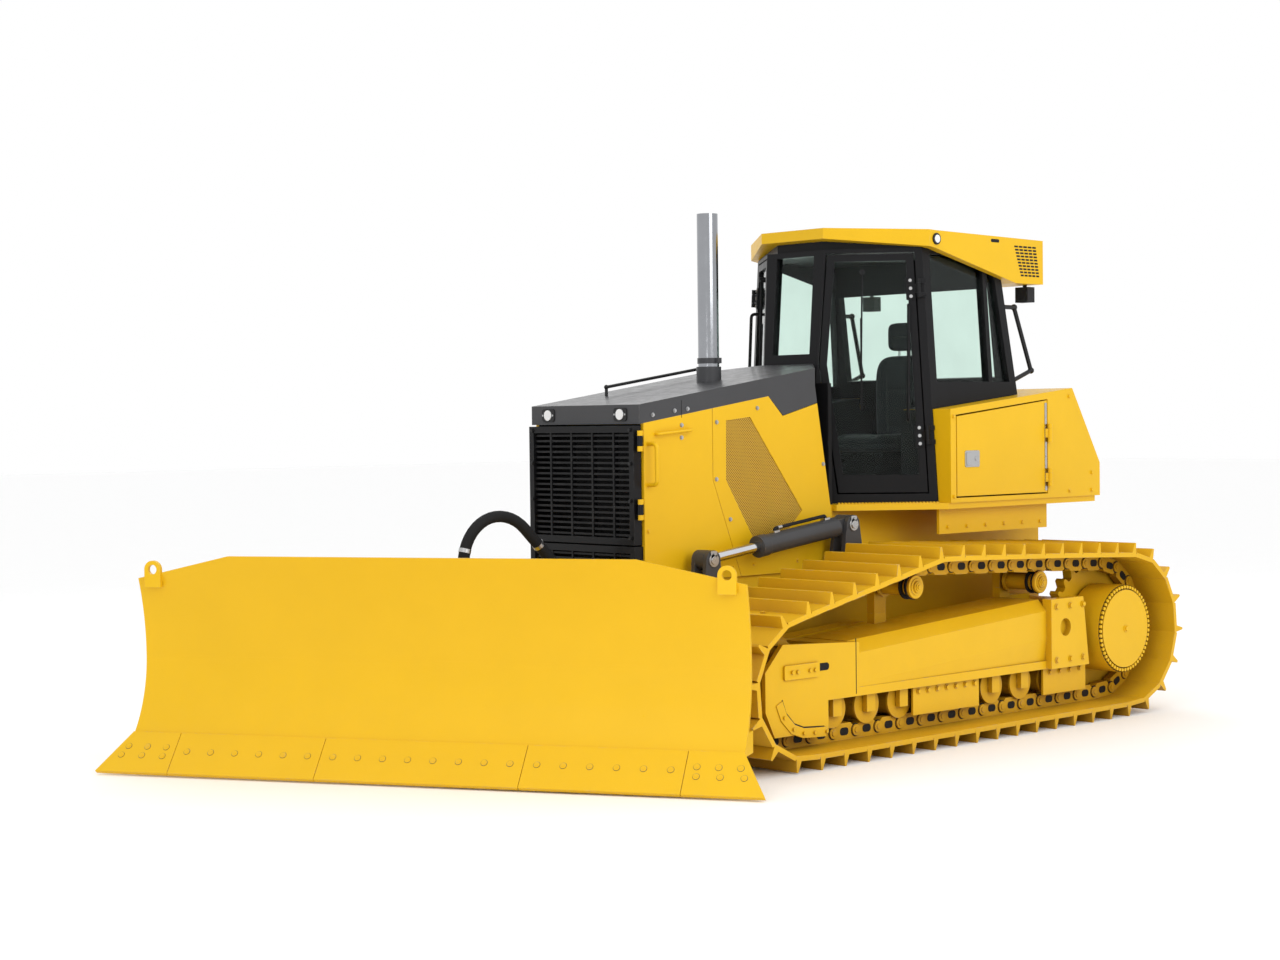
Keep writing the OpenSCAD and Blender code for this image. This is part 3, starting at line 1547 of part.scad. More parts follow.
module cutting_edges() {
    color(yellow) swung() on_edge_plane() {
        for (span = [[-edge_split[0], edge_split[0]], edge_split, [-edge_split[1], -edge_split[0]]])
            polygon([[span[0] + seam / 2, 0], [span[1] - seam / 2, 0], [span[1] - seam / 2, edge_h],
                [span[0] + seam / 2, edge_h]]);
        for (side = [-1, 1])
            polygon([[side * (edge_split[1] + seam / 2), 0], [side * blade_w / 2, 0],
                [side * board_half, edge_h],
                [side * (edge_split[1] + seam / 2), edge_h]]);
    }
}

// Angle cylinders, with their pins upright

angle_gland = 770;
angle_rod_len = 740;
angle_bore_start = 95;
angle_eye_left = [angle_eye_x * cos(blade_angle) - angle_eye_back * sin(blade_angle),
    pivot_y + angle_eye_x * sin(blade_angle) + angle_eye_back * cos(blade_angle)];
angle_eye_right = [-angle_eye_x * cos(blade_angle) - angle_eye_back * sin(blade_angle),
    pivot_y - angle_eye_x * sin(blade_angle) + angle_eye_back * cos(blade_angle)];
angle_base_left = [angle_base_x, angle_base_y];
angle_base_right = [-angle_base_x, angle_base_y];

module on_angle(base, eye) {
    run = eye - base;
    translate([base[0], base[1], pivot_z]) rotate([0, 0, atan2(run[1], run[0])]) rotate([90, 0, 0])
        children();
}

module angle_barrel(base, eye) {
    color(dark) on_angle(base, eye)
        barrel(angle_barrel_r, angle_rod_r, angle_bore_start, angle_gland, eye_neck);
}

module angle_rod(base, eye) {
    color(steel) on_angle(base, eye) piston(angle_rod_r, norm(eye - base), angle_rod_len);
}

// Tilt cylinder, from a post on the yoke to a lug on the blade

tilt_gland = 520;
tilt_rod_len = 480;
tilt_bore_start = 130;

module on_tilt() {
    swung() translate([post_x, tilt_y, tilt_z]) children();
}

module tilt_barrel() {
    color(dark) on_tilt() barrel(tilt_barrel_r, tilt_rod_r, tilt_bore_start, tilt_gland, eye_neck);
}

module tilt_rod() {
    color(steel) on_tilt() piston(tilt_rod_r, tilt_eye_x - post_x, tilt_rod_len);
}

// Sleeved hose that arches from the frame's front to the nose of the push frame

hose_r = 34;
hose_sides = 10;
hose_route = [[60, -1850, 1000], [60, -1960, 1000], [55, -2080, 1020], [45, -2200, 1090], [35, -2300, 1190],
    [25, -2400, 1290], [15, -2520, 1380], [5, -2640, 1440], [0, -2760, 1450], [-5, -2860, 1400],
    [-5, -2920, 1310], [0, -2930, 1200], [0, -2930, 1080], [0, -2930, 940]];
function hose_run(i) = unit(hose_route[min(i + 1, len(hose_route) - 1)] - hose_route[max(i - 1, 0)]);
function hose_ring(i) =
    let (d = hose_run(i), s = [1, 0, 0] - d * d[0], u = unit(s), v = cross(d, u))
    [for (k = [0 : hose_sides - 1]) hose_route[i]
        + (u * cos(360 * k / hose_sides) + v * sin(360 * k / hose_sides)) * hose_r];

module hose() {
    rings = len(hose_route);
    color(black) polyhedron(
        points = [for (i = [0 : rings - 1]) each hose_ring(i)],
        faces = concat(
            [for (i = [0 : rings - 2]) for (k = [0 : hose_sides - 1])
                [i * hose_sides + k, (i + 1) * hose_sides + k, (i + 1) * hose_sides + (k + 1) % hose_sides,
                    i * hose_sides + (k + 1) % hose_sides]],
            [[for (k = [0 : hose_sides - 1]) k]],
            [[for (k = [hose_sides - 1 : -1 : 0]) (rings - 1) * hose_sides + k]]));
}

// The machine's box: the blade sets its front and sides, the drawbar or the tracks its rear

function swing_x(x, y) = x * cos(blade_angle) - y * sin(blade_angle);
function swing_y(x, y) = pivot_y + x * sin(blade_angle) + y * cos(blade_angle);
tip_r = norm([sprocket_belt_r + shoe_t + grouser_h, pitch / 2]);
box_x0 = min(-track_x - shoe_w / 2, swing_x(-blade_w / 2, -edge_reach));
box_x1 = max(track_x + shoe_w / 2, swing_x(blade_w / 2, -edge_reach));
box_y0 = swing_y(-blade_w / 2, -edge_reach);
box_y1 = max(sprocket_y + tip_r, hitch_y + hitch_nose_r);

module placed() {
    translate([-(box_x0 + box_x1) / 2, -(box_y0 + box_y1) / 2, 0]) children();
}

module right_side() {
    mirror([1, 0, 0]) children();
}

placed() main_frame();
placed() drawbar();
placed() engine_block();
placed() radiator();
placed() hood_top();
placed() hood_lamps();
placed() hood_side_left();
placed() right_side() hood_side();  // hood_side_right
placed() exhaust_stack();
placed() hood_rail();
placed() deck();
placed() side_box();  // side_box_left
placed() right_side() side_box();  // side_box_right
placed() fuel_tank();
placed() cab_frame();
placed() cab_roof();
placed() cab_glass();
placed() seat();
placed() console();
placed() work_lamps();
placed() cab_rails();
placed() lift_brackets();
placed() cross_shaft();
placed() equalizer_bar();
placed() track_frame();  // track_frame_left
placed() right_side() track_frame();  // track_frame_right
placed() idlers();
placed() final_drives();
placed() bottom_rollers();
placed() carrier_rollers();
placed() track_chains();
placed() track();  // track_left
placed() right_side() track();  // track_right
placed() hose();
placed() grille_base();
placed() grille();
placed() cab_door();  // cab_door_left
placed() right_side() cab_door();  // cab_door_right
placed() door_glass();  // door_glass_left
placed() right_side() door_glass();  // door_glass_right
placed() service_door();  // service_door_left
placed() right_side() service_door();  // service_door_right
placed() c_frame();
placed() lift_towers();
placed() yoke();
placed() moldboard();
placed() cutting_edges();
placed() lift_barrel();  // lift_barrel_left
placed() right_side() lift_barrel();  // lift_barrel_right
placed() lift_rod();  // lift_rod_left
placed() right_side() lift_rod();  // lift_rod_right
placed() angle_barrel(angle_base_left, angle_eye_left);  // angle_barrel_left
placed() angle_barrel(angle_base_right, angle_eye_right);  // angle_barrel_right
placed() angle_rod(angle_base_left, angle_eye_left);  // angle_rod_left
placed() angle_rod(angle_base_right, angle_eye_right);  // angle_rod_right
placed() tilt_barrel();
placed() tilt_rod();
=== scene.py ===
import json
import math
import bmesh
import bpy
from mathutils import Matrix, Vector


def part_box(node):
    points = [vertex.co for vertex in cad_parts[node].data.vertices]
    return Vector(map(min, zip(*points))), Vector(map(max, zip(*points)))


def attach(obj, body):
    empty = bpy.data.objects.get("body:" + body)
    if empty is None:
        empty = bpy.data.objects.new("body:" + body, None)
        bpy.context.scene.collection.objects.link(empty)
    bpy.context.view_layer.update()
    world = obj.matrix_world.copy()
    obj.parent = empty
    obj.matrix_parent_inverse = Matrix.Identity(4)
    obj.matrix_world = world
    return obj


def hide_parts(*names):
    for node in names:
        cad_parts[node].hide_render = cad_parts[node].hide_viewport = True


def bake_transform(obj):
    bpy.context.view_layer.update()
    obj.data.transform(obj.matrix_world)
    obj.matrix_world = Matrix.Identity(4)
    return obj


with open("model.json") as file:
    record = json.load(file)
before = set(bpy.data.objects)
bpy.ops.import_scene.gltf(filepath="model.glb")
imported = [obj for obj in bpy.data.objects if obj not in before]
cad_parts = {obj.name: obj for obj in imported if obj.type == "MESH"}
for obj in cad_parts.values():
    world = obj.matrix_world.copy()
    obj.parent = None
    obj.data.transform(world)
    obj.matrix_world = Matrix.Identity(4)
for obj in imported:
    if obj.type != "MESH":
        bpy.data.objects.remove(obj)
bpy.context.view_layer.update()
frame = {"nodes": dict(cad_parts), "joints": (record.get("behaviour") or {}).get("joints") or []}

# Main frame, drawbar, cross shaft and equalizer bar
# Welded plate and castings that carry the whole machine. They are sprayed yellow or dark grey,
# dusty low down and rubbed to bare steel along their edges.

NODES = frame["nodes"]
JOINTS = {joint["name"]: joint for joint in frame["joints"]}


def add_node(tree, kind, **values):
    """Adds a shader node and sets its inputs; underscores stand for spaces."""
    node = tree.nodes.new(kind)
    for name, value in values.items():
        node.inputs[name.replace("_", " ")].default_value = value
    return node


def ramp(tree, value, low, high, out_low, out_high):
    """Maps a value from one range to another, held inside it."""
    node = add_node(tree, "ShaderNodeMapRange", From_Min=low, From_Max=high, To_Min=out_low,
                    To_Max=out_high)
    tree.links.new(value, node.inputs["Value"])
    return node.outputs["Result"]


def combine(tree, a, b, operation="MULTIPLY"):
    """Product of two values, or what another operation makes of them."""
    node = tree.nodes.new("ShaderNodeMath")
    node.operation = operation
    tree.links.new(a, node.inputs[0])
    tree.links.new(b, node.inputs[1])
    return node.outputs[0]


def blend_colour(tree, share, a, b):
    """Mixes colour a to colour b; each is a socket or a plain colour."""
    node = tree.nodes.new("ShaderNodeMix")
    node.data_type = "RGBA"
    tree.links.new(share, node.inputs[0])
    for socket, colour in ((node.inputs[6], a), (node.inputs[7], b)):
        if isinstance(colour, bpy.types.NodeSocket):
            tree.links.new(colour, socket)
        else:
            socket.default_value = (*colour, 1.0)
    return node.outputs[2]


def new_finish(name):
    """Makes a material that uses nodes."""
    made = bpy.data.materials.new(name)
    made.use_nodes = True
    return made


def shading(made):
    """Node tree, shader and object coordinates of a material."""
    tree = made.node_tree
    place = tree.nodes.new("ShaderNodeTexCoord").outputs["Object"]
    return tree, tree.nodes["Principled BSDF"], place


def surface(name, colour, roughness, metal=0.0, wear=0.0, bare=(0.33, 0.31, 0.29),
            dust=0.0, bump=0.05, grain=260.0, vary=0.12, coat=0.0, hollow_shade=0.0, gloss=0.2):
    """Cloudy, grained finish with worn edges, dust low down and painted shade in hollows."""
    dry_dust, dust_floor, dust_top = (0.36, 0.29, 0.2), 0.1, 1.3
    edge_reach, hollow_reach = 0.007, 0.24
    made = new_finish(name)
    tree, shader, place = shading(made)
    shape = tree.nodes.new("ShaderNodeNewGeometry")
    cloud = add_node(tree, "ShaderNodeTexNoise", Scale=2.3, Detail=5.0, Roughness=0.6)
    speck = add_node(tree, "ShaderNodeTexNoise", Scale=grain, Detail=3.0)
    blotch = add_node(tree, "ShaderNodeTexNoise", Scale=14.0, Detail=6.0, Roughness=0.7)
    for noise in (cloud, speck, blotch):
        tree.links.new(place, noise.inputs["Vector"])
    shade = ramp(tree, cloud.outputs[0], 0.3, 0.7, 0.0, 1.0)
    darker = tuple(c * (1.0 - vary) for c in colour)
    coloured = blend_colour(tree, shade, darker, colour)
    if dust:
        parted = tree.nodes.new("ShaderNodeSeparateXYZ")
        tree.links.new(shape.outputs["Position"], parted.inputs[0])
        low = ramp(tree, parted.outputs[2], dust_floor, dust_top, dust, dust * 0.08)
        patchy = ramp(tree, blotch.outputs[0], 0.35, 0.7, 0.15, 1.0)
        coloured = blend_colour(tree, combine(tree, low, patchy), coloured, dry_dust)
    if wear:
        rounded = add_node(tree, "ShaderNodeBevel", Radius=edge_reach)
        rounded.samples = 4
        along = tree.nodes.new("ShaderNodeVectorMath")
        along.operation = "DOT_PRODUCT"
        tree.links.new(rounded.outputs[0], along.inputs[0])
        tree.links.new(shape.outputs["Normal"], along.inputs[1])
        edge = ramp(tree, along.outputs["Value"], 0.995, 0.86, 0.0, 1.0)
        chipped = ramp(tree, blotch.outputs[0], 0.5, 0.62, 0.0, wear)
        worn = combine(tree, edge, chipped)
        coloured = blend_colour(tree, worn, coloured, bare)
    # Painted shade: darkens the colour to a brownish tone where nearby faces hem the surface in, as
    # ambient occlusion does.
    if hollow_shade:
        shaded_hollow = add_node(tree, "ShaderNodeAmbientOcclusion", Distance=hollow_reach)
        shaded_hollow.samples = 6
        deep = ramp(tree, shaded_hollow.outputs["AO"], 0.15, 0.85, hollow_shade, 0.0)
        painted_shade = (colour[0] * 0.34, colour[1] * 0.26, colour[2] * 0.4)
        coloured = blend_colour(tree, deep, coloured, painted_shade)
    tree.links.new(coloured, shader.inputs["Base Color"])
    rough = ramp(tree, blotch.outputs[0], 0.25, 0.75, max(roughness - 0.09, 0.03),
                 min(roughness + 0.1, 1.0))
    tree.links.new(rough, shader.inputs["Roughness"])
    shader.inputs["Metallic"].default_value = metal
    shader.inputs["Specular IOR Level"].default_value = gloss
    shader.inputs["Coat Weight"].default_value = coat
    shader.inputs["Coat Roughness"].default_value = 0.12
    raised = add_node(tree, "ShaderNodeBump", Strength=bump, Distance=0.002)
    tree.links.new(speck.outputs[0], raised.inputs["Height"])
    tree.links.new(raised.outputs[0], shader.inputs["Normal"])
    return made


def round_edges(made, width):
    """Rounds an object's sharp edges by a small bevel, and returns the bevel."""
    bevel = made.modifiers.new("rounded edges", "BEVEL")
    bevel.width = width
    bevel.segments = 2
    bevel.limit_method = "ANGLE"
    bevel.harden_normals = True
    return bevel


def dress(material, *names, edge=0.004):
    """Gives CAD nodes a finish and rounded edges; a name stands for its pair too."""
    wanted = [name + end for name in names for end in ("", "_left", "_right")]
    for node in (NODES[name] for name in wanted if name in NODES):
        for slot in node.material_slots:
            slot.material = material
        if edge:
            round_edges(node, edge).angle_limit = math.radians(38)


yellow = surface("yellow paint", (0.75, 0.445, 0.007), 0.38, wear=0.22,
                 dust=0.02, vary=0.05, coat=0.06)
# The low yellow paint carries painted shade in its hollows.
low_yellow = surface("low yellow paint", (0.75, 0.44, 0.007), 0.42, wear=0.4,
                     dust=0.05, vary=0.06, coat=0.04, hollow_shade=0.75)
dark_grey = surface("dark grey paint", (0.053, 0.054, 0.058), 0.40, wear=0.3,
                    dust=0.04, coat=0.12)
dress(low_yellow, "main_frame")
dress(dark_grey, "drawbar", "cross_shaft", "equalizer_bar", "lift_brackets")

# Engine and radiator
# The engine is one plain block under the hood. The radiator is a finned aluminium core, painted
# black, that shows between the slats of the grille.

core_black = surface("radiator black", (0.012, 0.012, 0.013), 0.6,
                     grain=900.0, bump=0.6, vary=0.4)
dress(dark_grey, "engine_block")
dress(core_black, "radiator", edge=0)

# Roller frames, rollers, idlers and final drives
# Box-section beams with bolted plates and guards; cast rollers and idlers; the final drive's
# cover is held by a close ring of cap screws.

SIDES = ((1, "left"), (-1, "right"))
LEFT, AHEAD, UP = Vector((1, 0, 0)), Vector((0, -1, 0)), Vector((0, 0, 1))
SUNK = 0.002
radiator_low, radiator_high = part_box("radiator")
radiator_ahead = 1.830
MIDDLE = Vector(((radiator_low.x + radiator_high.x) / 2, radiator_low.y + radiator_ahead, 0.0))


def at(x, y, z):
    """Point in machine axes, from the middle of the tracks on the ground."""
    return MIDDLE + Vector((x, y, z))


def add_rod(mesh, start, end, radius, sides=16, end_radius=None):
    """Adds a round bar, or a cone, between two points."""
    run = end - start
    turn = run.to_track_quat("Z", "Y").to_matrix().to_4x4()
    move = Matrix.Translation((start + end) / 2) @ turn
    bmesh.ops.create_cone(mesh, cap_ends=True, segments=sides, radius1=radius,
                          radius2=radius if end_radius is None else end_radius,
                          depth=run.length, matrix=move)


def add_box(mesh, low, high):
    """Adds a box between two corners."""
    move = Matrix.Translation((low + high) / 2) @ Matrix.Diagonal((*(high - low), 1.0))
    bmesh.ops.create_cube(mesh, size=1.0, matrix=move)


def add_bolt(mesh, place, out, radius, washer=True):
    """Adds a hexagon head, on a washer, that stands out of a face."""
    out = out.normalized()
    if washer:
        add_rod(mesh, place - out * radius * 0.2, place + out * radius * 0.3, radius * 1.35, 14)
    add_rod(mesh, place, place + out * radius, radius, 6)


def add_side_bolts(mesh, x, spots, radius, washer=True):
    """Adds bolts at the same spots of a left and a right face."""
    for side in (1, -1):
        for y, z in spots:
            add_bolt(mesh, at(side * x, y, z), LEFT * side, radius, washer)


def add_tube(mesh, points, radius, sides=12, bend=0.05):
    """Adds a tube along straight runs with round bends, and returns its middle line."""
    line = [points[0]] if bend else points[:-1]
    for before, corner, after in zip(points, points[1:], points[2:]) if bend else ():
        reach = min(bend, (corner - before).length * 0.45, (after - corner).length * 0.45)
        a = corner + (before - corner).normalized() * reach
        b = corner + (after - corner).normalized() * reach
        steps = 7
        for i in range(steps + 1):
            t = i / steps
            line.append(a * (1 - t) ** 2 + corner * 2 * t * (1 - t) + b * t ** 2)
    line.append(points[-1])
    side = None
    rings = []
    for i, p in enumerate(line):
        run = (line[min(i + 1, len(line) - 1)] - line[max(i - 1, 0)]).normalized()
        if side is None:
            side = run.orthogonal().normalized()
        side = (side - run * side.dot(run)).normalized()
        up = run.cross(side)
        rings.append([mesh.verts.new(p + (side * math.cos(2 * math.pi * k / sides)
                                          + up * math.sin(2 * math.pi * k / sides)) * radius)
                      for k in range(sides)])
    for a, b in zip(rings, rings[1:]):
        for k in range(sides):
            mesh.faces.new((a[k], a[(k + 1) % sides], b[(k + 1) % sides], b[k]))
    mesh.faces.new(rings[0][::-1])
    mesh.faces.new(rings[-1])
    return line


def add_plate(mesh, middle, out, up, wide, high, thick, corner=0.0):
    """Adds a flat plate with rounded corners that stands out of a face."""
    out = out.normalized()
    up = (up - out * up.dot(out)).normalized()
    across = up.cross(out)
    steps = 4 if corner else 0
    rim = []
    for i, (sx, sy) in enumerate(((1, 1), (-1, 1), (-1, -1), (1, -1))):
        for k in range(steps + 1):
            turn = math.pi / 2 * (i + k / max(steps, 1))
            rim.append(middle + across * (sx * (wide / 2 - corner) + math.cos(turn) * corner)
                       + up * (sy * (high / 2 - corner) + math.sin(turn) * corner))
    add_slab(mesh, rim, out, thick)


def add_slab(mesh, rim, out, thick):
    """Adds a flat plate of any outline that stands out of a face, a little sunk into it."""
    foot = [mesh.verts.new(p - out * SUNK) for p in rim]
    face = [mesh.verts.new(p + out * thick) for p in rim]
    mesh.faces.new(foot[::-1])
    mesh.faces.new(face)
    for k in range(len(rim)):
        after = (k + 1) % len(rim)
        mesh.faces.new((foot[k], foot[after], face[after], face[k]))


def add_ring(mesh, middle, out, inner, outer, thick, sides=56):
    """Adds a flat ring that stands out of a face."""
    side = out.orthogonal().normalized()
    up = out.cross(side)
    turns = [2 * math.pi * k / sides for k in range(sides)]
    spokes = [side * math.cos(t) + up * math.sin(t) for t in turns]
    rims = ((inner, -SUNK), (outer, -SUNK), (outer, thick), (inner, thick))
    loops = [[mesh.verts.new(middle + spoke * radius + out * depth) for spoke in spokes]
             for radius, depth in rims]
    for low, high in zip(loops, loops[1:] + loops[:1]):
        for k in range(sides):
            after = (k + 1) % sides
            mesh.faces.new((low[k], low[after], high[after], high[k]))


def add_band(mesh, line, out, half, thick):
    """Adds a flat band of even width along a bent line on a face."""
    rims = []
    for i, p in enumerate(line):
        run_in = (p - line[i - 1] if i else line[1] - p).normalized()
        run_out = (line[i + 1] - p if i + 1 < len(line) else p - line[i - 1]).normalized()
        across = out.cross(run_in + run_out).normalized()
        reach = half / across.dot(out.cross(run_in).normalized())
        rims.append((p - across * reach, p + across * reach))
    add_slab(mesh, [low for low, high in rims] + [high for low, high in reversed(rims)], out, thick)


def piece(name, mesh, material, body="chassis", edge=0.0):
    """Makes a built mesh a named piece that wears a finish and moves with a body."""
    bmesh.ops.recalc_face_normals(mesh, faces=mesh.faces)
    data = bpy.data.meshes.new(name)
    mesh.to_mesh(data)
    mesh.free()
    for face in data.polygons:
        face.use_smooth = True
    data.set_sharp_from_angle(angle=math.radians(32))
    data.materials.append(material)
    made = bpy.data.objects.new(name, data)
    bpy.context.scene.collection.objects.link(made)
    if edge:
        round_edges(made, edge)
    if body:
        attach(made, body)
    return made


def flat_faces(name):
    """Flat faces of a CAD node, as (middle, normal, corner points)."""
    mesh = bmesh.new()
    mesh.from_mesh(NODES[name].data)
    bmesh.ops.remove_doubles(mesh, verts=mesh.verts, dist=0.00002)
    bmesh.ops.dissolve_limit(mesh, angle_limit=math.radians(0.6), verts=mesh.verts,
                             edges=mesh.edges)
    found = [(f.calc_center_median(), f.normal.copy(), [v.co.copy() for v in f.verts])
             for f in mesh.faces]
    mesh.free()
    return found


dress(low_yellow, "track_frame", "final_drives")
# Track and roller paint: a little darker than the yellow paint as painted shade, with real wear on
# its edges and painted shade in its hollows.
worn_shaded_yellow = surface("worn shaded yellow paint", (0.72, 0.41, 0.008), 0.48,
                      wear=0.6, dust=0.07, vary=0.08, hollow_shade=0.85)
dress(worn_shaded_yellow, "idlers", "bottom_rollers", "carrier_rollers", edge=0.003)

drive_low, drive_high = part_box("final_drives")
drum_face = 0.014
screw_ring, screw_count, screw_r = 0.279, 56, 0.0118
hub_bolt_r, groove_half = 0.017, 0.016
film = 0.001
# Painted shade: a thin dark ring along the screw circle stands in for the shade in the gaps between
# the screw heads.
groove_shade = surface("painted groove shade", (0.075, 0.042, 0.010), 0.8, vary=0.4, gloss=0.05)
screws, groove = bmesh.new(), bmesh.new()
for side in (-1, 1):
    out = LEFT * side
    axle = (drive_low + drive_high) / 2
    axle.x = (drive_high.x if side > 0 else drive_low.x) - side * drum_face
    for i in range(screw_count):
        turn = 2 * math.pi * i / screw_count
        spoke = Vector((0, math.cos(turn), math.sin(turn)))
        add_bolt(screws, axle + spoke * screw_ring, out, screw_r, washer=False)
    add_bolt(screws, axle + out * drum_face, out, hub_bolt_r)
    add_ring(groove, axle, out, screw_ring - groove_half, screw_ring + groove_half, film)
piece("drive_cover_screws", screws, yellow)
piece("drive_cover_groove", groove, groove_shade)

plate_x, guard_x, rear_plate_x = 1.307, 1.274, 1.347
cover_y, cover_z, cover_thick = -1.502, 0.556, 0.014
cover_spots = [(y, cover_z) for y in (-1.590, -1.545, -1.440, -1.395)]
rear_spots = [(y, z) for y in (0.93, 1.08, 1.22) for z in (0.42, 0.77)]
slot_y, slot_z, slot_thick = -1.304, 0.566, 0.0015
beam_front, beam_z, beam_high = -1.015, 0.545, 0.33
guide = [(-1.690, 0.385), (-1.652, 0.300), (-1.574, 0.226),
         (-1.487, 0.196), (-1.394, 0.190), (-1.290, 0.186)]
guide_half, guide_sunk, guide_thick = 0.028, 0.016, 0.022
idler_middle, groove_in = Vector((-1.44, 0.55)), 0.033
guard_rows = ((-0.40, 0.092, 7), (0.95, 0.11, 4))
guard_spots = [(y + step * i, 0.335) for y, step, count in guard_rows for i in range(count)]
frame_bolts, slots = bmesh.new(), bmesh.new()
for side in (1, -1):
    out = LEFT * side
    add_plate(frame_bolts, at(side * plate_x, cover_y, cover_z), out, UP, 0.300, 0.084,
              cover_thick, 0.012)
    # Painted shade: the rounded dark slot plate stands for the shade inside the slot; thin dark
    # lines are also drawn at the guide's inner edge and the beam's front.
    add_plate(slots, at(side * plate_x, slot_y, slot_z), out, UP, 0.096, 0.044, slot_thick, 0.021)
    add_band(frame_bolts, [at(side * (plate_x - guide_sunk), y, z) for y, z in guide], out,
             guide_half, guide_thick)
    inner = [Vector(p) + (idler_middle - Vector(p)).normalized() * groove_in for p in guide]
    add_band(slots, [at(side * plate_x, *p) for p in inner], out, 0.004, film)
    add_plate(slots, at(side * plate_x, beam_front, beam_z), out, UP, 0.006, beam_high, film)
add_side_bolts(frame_bolts, plate_x + cover_thick, cover_spots, 0.012, False)
add_side_bolts(frame_bolts, plate_x + guide_thick - guide_sunk, guide[1:], 0.010, False)
add_side_bolts(frame_bolts, rear_plate_x, rear_spots, 0.016)
add_side_bolts(frame_bolts, guard_x, guard_spots, 0.014)
piece("roller_frame_bolts", frame_bolts, low_yellow)
piece("roller_frame_slots", slots, core_black)

gauge_half, least_cap = 1.092, 0.03
cap_steps = ((0.92, 0.004), (0.66, 0.010), (0.36, 0.015))
seal_thick, seal_share, seal_depths = 0.012, 1.03, (0.016, 0.062)
caps, seals = bmesh.new(), bmesh.new()
for middle, normal, corners in flat_faces("carrier_rollers"):
    reach = max((c - middle).length for c in corners)
    outside = (middle.x - MIDDLE.x) * normal.x > gauge_half
    if abs(normal.x) > 0.99 and outside and reach > least_cap:
        out = Vector((normal.x, 0, 0)).normalized()
        for share, thick in cap_steps:
            add_rod(caps, middle - out * SUNK, middle + out * thick, reach * share, 32)
        for depth in seal_depths:
            add_rod(seals, middle - out * (depth + seal_thick), middle - out * depth,
                    reach * seal_share, 40)
piece("carrier_caps", caps, low_yellow, edge=0.0015)
piece("carrier_seals", seals, core_black)

# Track chains and shoes
# Forged links and rolled shoes with one grouser each; every shoe is held to its pair of links by
# four bolts. The paint is rubbed off the grousers' tips.

dress(worn_shaded_yellow, "track_chains", edge=0)
dress(worn_shaded_yellow, "track", edge=0.002)
rail_face, pin_depth = 0.110, 0.080
link_pitch, grouser_foot = 0.204695, 0.038
flat_least, flat_most = 0.12, 0.18
bolt_across, bolt_along, shoe_bolt_r = 0.0825, 0.032, 0.014
boss_r, pin_r, boss_gap_r = 0.034, 0.017, 0.0405
shoe_bolts, bosses, gaps = bmesh.new(), bmesh.new(), bmesh.new()
for side, word in SIDES:
    out = LEFT * side
    for middle, normal, corners in flat_faces(f"track_{word}"):
        if abs(normal.x) > 0.01 or len(corners) != 4:
            continue
        run = LEFT.cross(normal)
        spread = [corner.dot(run) for corner in corners]
        if not flat_least < max(spread) - min(spread) < flat_most:
            continue
        for across in (-bolt_across, bolt_across):
            for along in (-bolt_along, bolt_along):
                spot = middle + LEFT * across + run * along
                add_bolt(shoe_bolts, spot, normal, shoe_bolt_r, washer=False)
        onward = Vector((0, normal.z, -normal.y))
        pin = middle - normal * pin_depth - onward * (link_pitch - grouser_foot) / 2
        pin.x = MIDDLE.x + side * (gauge_half + rail_face)
        add_rod(bosses, pin - out * 0.004, pin + out * 0.010, boss_r, 20)
        add_rod(bosses, pin, pin + out * 0.014, pin_r, 14)
        # Painted shade: dark film rings round the pin bosses and plates in the link windows stand
        # for the shade in the gaps and openings.
        add_rod(gaps, pin - out * 0.004, pin + out * 0.0008, boss_gap_r, 20)
        add_plate(gaps, pin + onward * link_pitch / 2, out, normal, 0.076, 0.046, 0.0015, 0.021)
piece("shoe_bolts", shoe_bolts, worn_shaded_yellow)
piece("chain_bosses", bosses, worn_shaded_yellow)
piece("chain_openings", gaps, core_black)

# Hood: dark top, yellow side panels with a mesh vent, lamps and rail
# Pressed sheet panels over the engine. The vent in each side is woven mesh set in a shallow
# recess; the panels are held by bolts along their edges.

dress(dark_grey, "hood_top", edge=0.012)
dress(yellow, "hood_side")

vent_mesh = surface("vent mesh", (0.55, 0.32, 0.03), 0.5, grain=400.0)
tree, shader, place = shading(vent_mesh)
wires = []
for turn in (45, -45):
    turned = tree.nodes.new("ShaderNodeMapping")
    turned.inputs["Rotation"].default_value = (math.radians(turn), 0, 0)
    tree.links.new(place, turned.inputs["Vector"])
    wave = add_node(tree, "ShaderNodeTexWave", Scale=26.0)
    wave.bands_direction = "Y"
    tree.links.new(turned.outputs[0], wave.inputs["Vector"])
    wires.append(ramp(tree, wave.outputs["Fac"], 0.35, 0.6, 0.0, 1.0))
painted = shader.inputs["Base Color"].links[0].from_socket
# Painted shade: the gaps between the wires take the dark of the shaded space behind the mesh.
shaded_hollow = (0.02, 0.016, 0.01)
meshed = blend_colour(tree, combine(tree, *wires, "MAXIMUM"), shaded_hollow, painted)
tree.links.new(meshed, shader.inputs["Base Color"])
skin_x, recess = 0.484, 0.010
mesh_lift, mesh_thick = 0.002, 0.003
for side, word in SIDES:
    recess_x = MIDDLE.x + side * (skin_x - recess)
    vent = bmesh.new()
    for middle, normal, corners in flat_faces(f"hood_side_{word}"):
        if normal.x * side > 0.99 and abs(middle.x - recess_x) < 0.002:
            rim = [vent.verts.new(c + LEFT * side * mesh_lift) for c in corners]
            grown = bmesh.ops.extrude_face_region(vent, geom=[vent.faces.new(rim)])["geom"]
            for v in [g for g in grown if isinstance(g, bmesh.types.BMVert)]:
                v.co.x += side * mesh_thick
    piece(f"vent_mesh_{word}", vent, vent_mesh)

